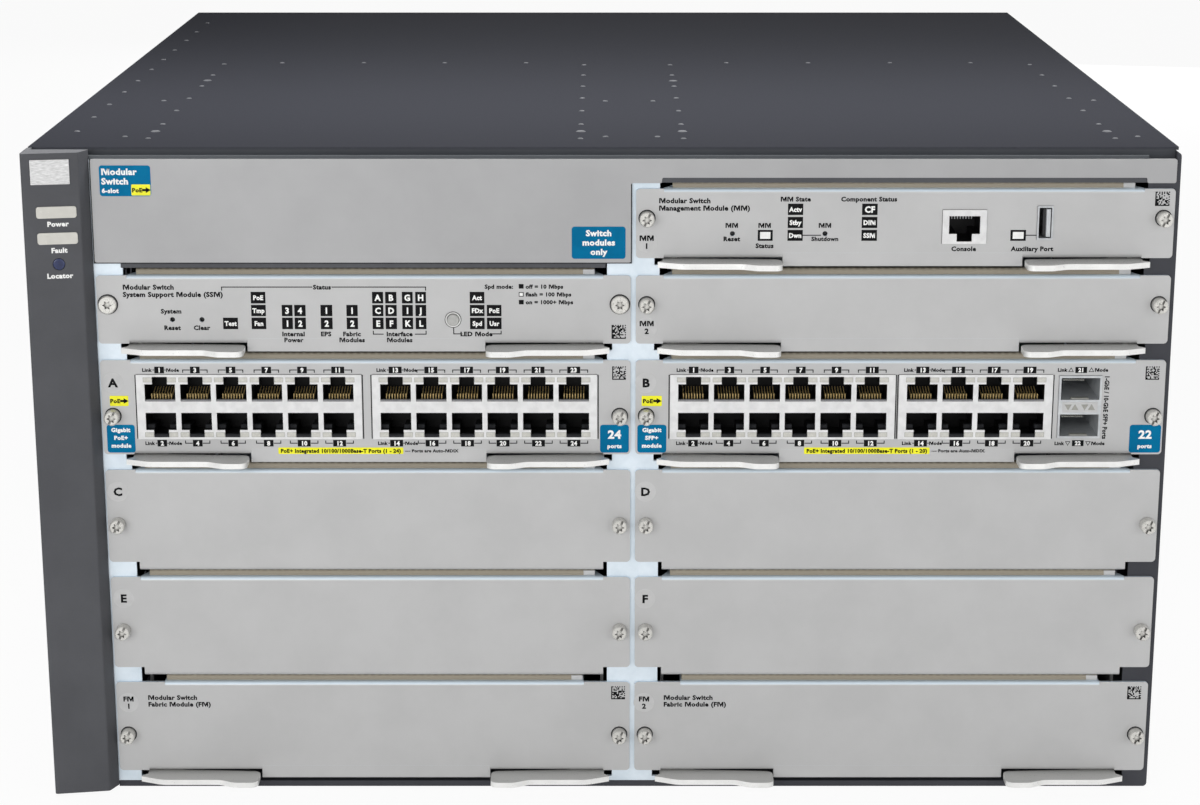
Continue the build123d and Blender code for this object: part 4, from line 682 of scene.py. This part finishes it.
def addPart(bm, x, z, part):
    # a small block at x and z; its depth is measured back from the jacks' front face
    addBlock(bm, (x - part["half"], plate["jackFace"] + part["depth"][0], z + part["height"][0]),
             (x + part["half"], plate["jackFace"] + part["depth"][1], z + part["height"][1]), part["bevel"])


def addSprings(bm, x, z, hand):
    # bent springs; hand is 1 where they lie on the socket's floor and -1 where they hang from its roof
    start = springs["lying"] if hand > 0 else springs["hanging"]
    heel = Matrix.Translation((0, start / 1000, z / 1000))
    lean = heel @ Matrix.Rotation(hand * springs["lean"], 4, "X") @ heel.inverted()
    bend = (z, z + hand * springs["bend"])
    for index in range(springs["count"]):
        middle = x + (index - (springs["count"] - 1) / 2) * springs["pitch"]
        left = middle - springs["half"]
        right = middle + springs["half"]
        verts = addBlock(bm, (left, start, z - springs["halfThick"]),
                         (right, springs["end"], z + springs["halfThick"]))
        bmesh.ops.transform(bm, matrix=lean, verts=verts)
        addBlock(bm, (left, start + springs["knee"][0], min(bend)),
                 (right, start + springs["knee"][1], max(bend)), springs["bevel"])


for key, module in lineModules.items():
    made = {name: bmesh.new() for name in jackPieces}
    for middle, columns in module["blocks"]:
        for column in range(columns):
            x = middle + (column - (columns - 1) / 2) * jacks["pitch"]
            for side in (-1, 1):
                for z in jacks["lampRows"]:
                    addPart(made["pipe_shade_frames"], x + side * jacks["lampSide"], z, jacks["frame"])
                    addPart(made["light_pipes"], x + side * jacks["lampSide"], z, jacks["pipe"])
                addPart(made["latch_rests_and_corner_shade"], x + side * jacks["cornerShadeSide"], jacks["lower"], jacks["stop"])
            addPart(made["socket_rim_light"], x, jacks["upper"], jacks["sill"])
            addPart(made["latch_rests_and_corner_shade"], x, jacks["lower"], jacks["rest"])
            addSprings(made["springs"], x, jacks["upper"] - springs["offset"], 1)
            addSprings(made["springs"], x, jacks["lower"] + springs["offset"], -1)
    for name, (material, slotName) in jackPieces.items():
        newPiece(key + "_" + name, made[name], material, bodyOf(key))

console = {"springX": 139.5, "springZ": 236.6, "tongueLow": (169.9, -227.0, 229.2),
           "tongueHigh": (171.4, -216.0, 240.0), "tongueBevel": 0.2}
consoleSprings = bmesh.new()
addSprings(consoleSprings, console["springX"], console["springZ"], -1)
newPiece("management_1_springs", consoleSprings, tinnedSteel, "management_1_module")
tongue = bmesh.new()
addBlock(tongue, console["tongueLow"], console["tongueHigh"], console["tongueBevel"])
newPiece("management_1_usb_tongue", tongue, blackButton, "management_1_module")

# Transceiver cage: spring fingers at the mouths, grey as painted shade of the slots among them, and the lamp
# strip between them
cage = {
    "middle": 187.3, "mouths": (172.85, 158.05), "fingers": 9, "fingerPitch": 0.95, "fingerStart": -6.6,
    "finger": {"half": 0.3, "depth": (0.3, 4.0), "height": (-1.1, -0.7), "bevel": 0.08},
    "sill": {"half": 3.5, "depth": (0.4, 3.0), "height": (-8.8, -8.3), "bevel": 0.1},
    "strip": {"half": 7.0, "depth": (-0.12, 0.1), "height": (-2.1, 2.1), "bevel": 0.1}, "stripZ": 161.0,
    "lamps": ((-4.6, -1), (-1.9, 1), (1.9, -1), (4.6, 1)),
    "lamp": {"radius": 1.6, "taper": 0.875, "thick": 0.16, "drop": 0.3},
}
fingers = bmesh.new()
for top in cage["mouths"]:
    for index in range(cage["fingers"]):
        x = cage["middle"] + cage["fingerStart"] + index * cage["fingerPitch"]
        addPart(fingers, x, top, cage["finger"])
    addPart(fingers, cage["middle"], top, cage["sill"])
newPiece("line_b_cage_fingers", fingers, darkGap, "line_b_module")
strip = bmesh.new()
addPart(strip, cage["middle"], cage["stripZ"], cage["strip"])
newPiece("line_b_cage_strip", strip, paleDisc, "line_b_module")
cageLamps = bmesh.new()
lamp = cage["lamp"]
for x, up in cage["lamps"]:
    addDisc(cageLamps, cage["middle"] + x, cage["stripZ"] - up * lamp["drop"], lamp["radius"],
            plate["jackFace"] + cage["strip"]["depth"][0], lamp["thick"], 3, lamp["taper"],
            0 if up > 0 else math.pi)
newPiece("line_b_cage_lamps", cageLamps, darkGap, "line_b_module")
print("jacks dressed")

# Gaskets on the folded lips: side of the chassis and height of the lip

gasket = {"start": -226.0, "deep": 5.0, "high": 2.2, "crown": 1.2, "half": 89.2, "fabricHalf": 84.2,
          "left": -92.65, "right": 115.95, "tab": 4.5, "tabProud": 0.05, "tabDeep": 1.0, "tabHigh": 1.9,
          "tabBevel": 0.1}
gaskets = {"support": ("left", 213.8), "management_2": ("right", 213.8), "management_1": ("right", 247.9),
           "line_a": ("left", 179.9), "line_b": ("right", 179.9), "fabric_1": ("left", 45.8),
           "fabric_2": ("right", 45.8), "slot_cover_c": ("left", 135.2), "slot_cover_d": ("right", 135.2),
           "slot_cover_e": ("left", 90.5), "slot_cover_f": ("right", 90.5)}
tabs = {}
for key, (side, top) in gaskets.items():
    middle = gasket[side]
    half = gasket["fabricHalf" if key.startswith("fabric") else "half"]
    bm = bmesh.new()
    addBlock(bm, (middle - half, gasket["start"], top),
             (middle + half, gasket["start"] + gasket["deep"], top + gasket["high"]))
    crown = [e for e in bm.edges if all(v.co.z > (top + 1) / 1000 for v in e.verts)
             and abs(e.verts[0].co.x - e.verts[1].co.x) > 0.01]
    bmesh.ops.bevel(bm, geom=crown, offset=gasket["crown"] / 1000, affect="EDGES", segments=4, profile=0.5,
                    material=-1)
    newPiece(key + "_gasket", bm, gasketCloth, bodyOf(key))
    if bodyOf(key) not in tabs:
        tabs[bodyOf(key)] = bmesh.new()
    addBlock(tabs[bodyOf(key)], (middle + half - gasket["tab"], gasket["start"] - gasket["tabProud"], top),
             (middle + half + gasket["tabProud"], gasket["start"] + gasket["tabDeep"],
              top + gasket["tabHigh"]), gasket["tabBevel"])
for body, tab in tabs.items():
    newPiece(body + "_gasket_tabs", tab, paleDisc, body)
print("gaskets laid")

# Between its levers each module's plate reaches a little below its ears
apron = {"drop": 3.2, "lap": 2.2, "clearance": 0.45, "proud": 0.02, "thickness": 1.0, "bevel": 0.15}
for key in moduleKeys:
    floorZ = nodeBox(carrier(key))[0].z
    start = nodeBox(key + "_lever_left")[1].x + apron["clearance"]
    end = nodeBox(key + "_lever_right")[0].x - apron["clearance"]
    front = plate["face"] - apron["proud"]
    apronBm = bmesh.new()
    addBlock(apronBm, (start, front, floorZ - apron["drop"]),
             (end, front + apron["thickness"], floorZ + apron["lap"]), apron["bevel"])
    newPiece(key + "_plate_apron", apronBm, silverPlate, key + "_module")

# Painted shadow: dark rims round each module's two screw heads; rise is their height over the module's floor
rim = {"knob": 2.9, "pan": 3.6, "wide": 0.42, "thick": 0.03, "rise": 15.72}
for key in sorted(moduleKeys):
    low, high = nodeBox(key + "_fasteners")
    z = nodeBox(carrier(key))[0].z + rim["rise"]
    radius = rim["pan"] if key == "support" else rim["knob"]
    rims = bmesh.new()
    for x in (low.x + radius, high.x - radius):
        addRing(rims, x, z, radius, radius + rim["wide"], plate["face"], rim["thick"])
    newPiece(key + "_fasteners_shadow_rims", rims, shadowBlack, key + "_module")

# Rings round the mode button: gap to the button, outer edge, thickness and finish; the black outline is a
# painted shadow
modeRings = {"mode_button_rim": (0.25, 0.65, 0.25, whiteInk),
             "mode_button_shadow_outline": (0.7, 0.95, 0.06, shadowBlack)}
low, high = nodeBox("support_mode_button")
button = (low + high) / 2
radius = (high.x - low.x) / 2
for name, (inner, outer, thick, finish) in modeRings.items():
    ringBm = bmesh.new()
    addRing(ringBm, button.x, button.z, radius + inner, radius + outer, plate["face"], thick)
    newPiece(name, ringBm, finish, "support_module")

# Painted shadow: a black strip round the fascia's edges, and grey bars painted as the shaded band under its
# lower edges
gap = {"wide": 0.4, "depth": (-228.4, -227.6), "sideClear": 2.0, "topClear": 2.2,
       "barDepth": (-227.9, -226.6), "barHigh": 2.2, "barEnd": 9.8, "barStart": 11.8, "barRise": 0.1,
       "barBevel": 0.1}
low, high = nodeBox("fascia_panel")
plateLow, plateHigh = nodeBox("management_1_tray")
innerX = plateLow.x - gap["sideClear"]
stripZ = plateHigh.z + gap["topClear"]
gapFoot = low.z - gap["wide"]
gapBm = bmesh.new()
for x0, x1, z0, z1 in ((low.x - gap["wide"], low.x, gapFoot, high.z), (low.x, innerX, gapFoot, low.z),
                       (innerX, innerX + gap["wide"], gapFoot, stripZ)):
    addBlock(gapBm, (x0, gap["depth"][0], z0), (x1, gap["depth"][1], z1))
newPiece("fascia_shadow_gap", gapBm, shadowBlack, "chassis")
barBm = bmesh.new()
barTop = stripZ + gap["barRise"] + gap["barHigh"]
for x0, x1, z1 in ((low.x + gap["barEnd"], innerX - gap["barEnd"], low.z),
                   (innerX + gap["barStart"], high.x - gap["barEnd"], barTop)):
    addBlock(barBm, (x0, gap["barDepth"][0], z1 - gap["barHigh"]), (x1, gap["barDepth"][1], z1),
             gap["barBevel"])
newPiece("fascia_shadow_bars", barBm, bezelPlastic, "chassis")
print("aprons, rims and fascia gap fitted")

# Side bezel: badge plate and words on its slanted face

bezel = {"edgeX": -222.25, "edgeY": -238.0, "slope": 3.5 / 21.65, "cap": 1.9,
         "words": (("Power", -209.2, 235.6), ("Fault", -209.2, 225.3), ("Locator", -209.4, 215.3)),
         "badgeX": -211.2, "badgeHalf": 7.4, "badgeZ": (250.9, 260.6), "badgeProud": 0.5, "badgeSunk": 0.3,
         "badgeBevel": 0.25}
bezelTurn = math.atan(bezel["slope"])


def bezelY(x):
    return bezel["edgeY"] + (x - bezel["edgeX"]) * bezel["slope"]


badge = bmesh.new()
badgeY = bezelY(bezel["badgeX"])
addBlock(badge, (bezel["badgeX"] - bezel["badgeHalf"], badgeY - bezel["badgeProud"], bezel["badgeZ"][0]),
         (bezel["badgeX"] + bezel["badgeHalf"], badgeY + bezel["badgeSunk"], bezel["badgeZ"][1]),
         bezel["badgeBevel"], 2, bezelTurn)
newPiece("badge_plate", badge, brushedPlate, "chassis")
bezelWords = bmesh.new()
for text, x, z in bezel["words"]:
    addWords(bezelWords, text, x, z, bezel["cap"], bezelY(x), turn=bezelTurn)
newPiece("bezel_white_print", bezelWords, whiteInk, "chassis")

# Top cover: spot-weld dimples, x to the places along its depth; the wide ones stand in two rows

dimple = {"radius": 1.2, "wide": 2.0, "wideRows": (-183.7, -38.8, -40.1), "edgeX": 210.3, "taper": 0.72,
          "thick": 0.3, "z": 263.12}
dimpleRows = {
    -210.3: [-183.7, -147.0, -111.8, -74.9, -39.8, -2.2, 32.6, 67.4, 105.4, 140.4, 179.1],
    -179.0: [-201.3, -183.7, -165.3, -129.0, -94.0, -56.6, -38.8, -21.4, 16.2],
    -9.0: [13.4, -21.4, -57.3, -93.2, -129.8, -165.8, -183.7, -201.8],
    31.6: [13.4, -21.4, -40.1, -57.3, -93.2, -129.8, -165.8, -183.7, -201.8],
    201.4: [14.4, -21.4, -56.6, -94.0, -129.0, -165.3, -183.7, -201.3],
    -188.9: [-196.9, -100.8], 0.9: [-101.7, -197.2], 21.4: [-101.7, -197.2], 211.1: [-99.9, -196.9],
    -152.1: [20.8], -113.4: [20.8], -75.1: [20.8], -36.5: [20.8], 58.4: [20.8], 97.2: [20.8], 136.0: [20.8],
    174.2: [20.8],
}
dimples = bmesh.new()
for x, places in dimpleRows.items():
    for y in places:
        wide = y in dimple["wideRows"] and abs(x) != dimple["edgeX"]
        radius = dimple["wide" if wide else "radius"] / 1000
        bmesh.ops.create_cone(dimples, cap_ends=True, segments=14, radius1=radius,
                              radius2=radius * dimple["taper"], depth=dimple["thick"] / 1000,
                              matrix=Matrix.Translation((x / 1000, y / 1000, dimple["z"] / 1000)))
newPiece("cover_dimples", dimples, bezelPlastic, "chassis")
print("bezel and cover dressed")

# Rear: two status lamps on each power supply

rear = {"y": 230.4, "radius": 1.6, "taper": 0.8, "thick": 0.8, "inset": (33.0, 27.0), "rise": 14.0}
for name in ("power_supply_left", "power_supply_right"):
    low, high = nodeBox(name)
    lampBm = bmesh.new()
    for inset in rear["inset"]:
        place = Matrix.Translation(((high.x - inset) / 1000, rear["y"] / 1000, (low.z + rear["rise"]) / 1000))
        bmesh.ops.create_cone(lampBm, cap_ends=True, segments=20, radius1=rear["radius"] / 1000,
                              radius2=rear["radius"] * rear["taper"] / 1000, depth=rear["thick"] / 1000,
                              matrix=place @ Matrix.Rotation(-math.pi / 2, 4, "X"))
    newPiece(name + "_lamps", lampBm, milkyAcrylic, name)
print("power supply lamps fitted")

# Camera, lamps and floor

cameraPlan = {"place": (-0.00065, -1.237, 0.4313), "pitch": 75.09, "lens": 79.63, "sensor": 36.0,
              "shiftX": -0.0014}
cameraData = bpy.data.cameras.new("camera")
cameraData.lens = cameraPlan["lens"]
cameraData.sensor_width = cameraPlan["sensor"]
cameraData.shift_x = cameraPlan["shiftX"]
cameraObject = bpy.data.objects.new("camera", cameraData)
cameraObject.location = cameraPlan["place"]
cameraObject.rotation_euler = (math.radians(cameraPlan["pitch"]), 0, 0)
bpy.context.scene.collection.objects.link(cameraObject)
bpy.context.scene.camera = cameraObject

lampPlan = {
    "key": {"place": (-0.9, -2.2, 0.62), "aim": (0, 0, 0.12), "size": (1.6, 1.2), "power": 21},
    "fill": {"place": (1.3, -1.9, 0.5), "aim": (0, 0, 0.12), "size": (1.6, 1.2), "power": 11},
    "crown": {"place": (0, -0.12, 0.5), "aim": (0, -0.12, 0.26), "size": (0.9, 0.12), "power": 2.8},
    "rear": {"place": (0.4, 2.0, 0.2), "aim": (0, 0, 0.12), "size": (1.6, 1.2), "power": 18},
}
for name, lamp in lampPlan.items():
    light = bpy.data.lights.new(name, "AREA")
    light.shape = "RECTANGLE"
    light.size, light.size_y = lamp["size"]
    light.energy = lamp["power"]
    lightObject = bpy.data.objects.new(name, light)
    lightObject.location = lamp["place"]
    aim = Vector(lamp["aim"]) - Vector(lamp["place"])
    lightObject.rotation_euler = aim.to_track_quat("-Z", "Y").to_euler()
    lightObject.visible_camera = False
    bpy.context.scene.collection.objects.link(lightObject)

# White to the camera, in reflections and through glass, and dimmer as a light on the object
studio = {"ambient": 0.28, "floorShare": 0.93, "floorHalf": 6.0, "paint": "#ffffff"}


def seenShare(tree):
    rays = addNode(tree, "LightPath")
    seen = addNode(tree, "Math", {"operation": "MAXIMUM"},
                   {0: rays.outputs["Is Camera Ray"], 1: rays.outputs["Is Glossy Ray"]})
    return addNode(tree, "Math", {"operation": "MAXIMUM"},
                   {0: seen.outputs["Value"], 1: rays.outputs["Is Transmission Ray"]}).outputs["Value"]


world = bpy.data.worlds.new("studio")
bpy.context.scene.world = world
world.use_nodes = True
worldTree = world.node_tree
worldTree.nodes.clear()
ambient = addNode(worldTree, "Background", {"Color": (1, 1, 1, 1), "Strength": studio["ambient"]})
backdrop = addNode(worldTree, "Background", {"Color": (1, 1, 1, 1), "Strength": 1.0})
mixedWorld = addNode(worldTree, "MixShader", {},
                     {"Fac": seenShare(worldTree), 1: ambient.outputs["Background"],
                      2: backdrop.outputs["Background"]})
addNode(worldTree, "OutputWorld", {}, {"Surface": mixedWorld.outputs["Shader"]})

floorBm = bmesh.new()
bmesh.ops.create_grid(floorBm, x_segments=1, y_segments=1, size=studio["floorHalf"])
floorMesh = bpy.data.meshes.new("floor")
floorBm.to_mesh(floorMesh)
floorBm.free()
floor = bpy.data.objects.new("floor", floorMesh)
bpy.context.scene.collection.objects.link(floor)
floorPaint = bpy.data.materials.new("white_studio_floor")
floorPaint.use_nodes = True
floorTree = floorPaint.node_tree
floorTree.nodes.clear()
floorShare = addNode(floorTree, "Math", {"operation": "MULTIPLY", 1: studio["floorShare"]},
                     {0: seenShare(floorTree)})
floorMatt = addNode(floorTree, "BsdfDiffuse", {"Color": toLinear(studio["paint"])})
floorWhite = addNode(floorTree, "Emission", {"Color": (1, 1, 1, 1), "Strength": 1.0})
floorMix = addNode(floorTree, "MixShader", {},
                   {"Fac": floorShare.outputs["Value"], 1: floorMatt.outputs["BSDF"],
                    2: floorWhite.outputs["Emission"]})
addNode(floorTree, "OutputMaterial", {}, {"Surface": floorMix.outputs["Shader"]})
floorMesh.materials.append(floorPaint)
bpy.context.scene.view_settings.view_transform = "Standard"
print("camera, lamps and floor ready")
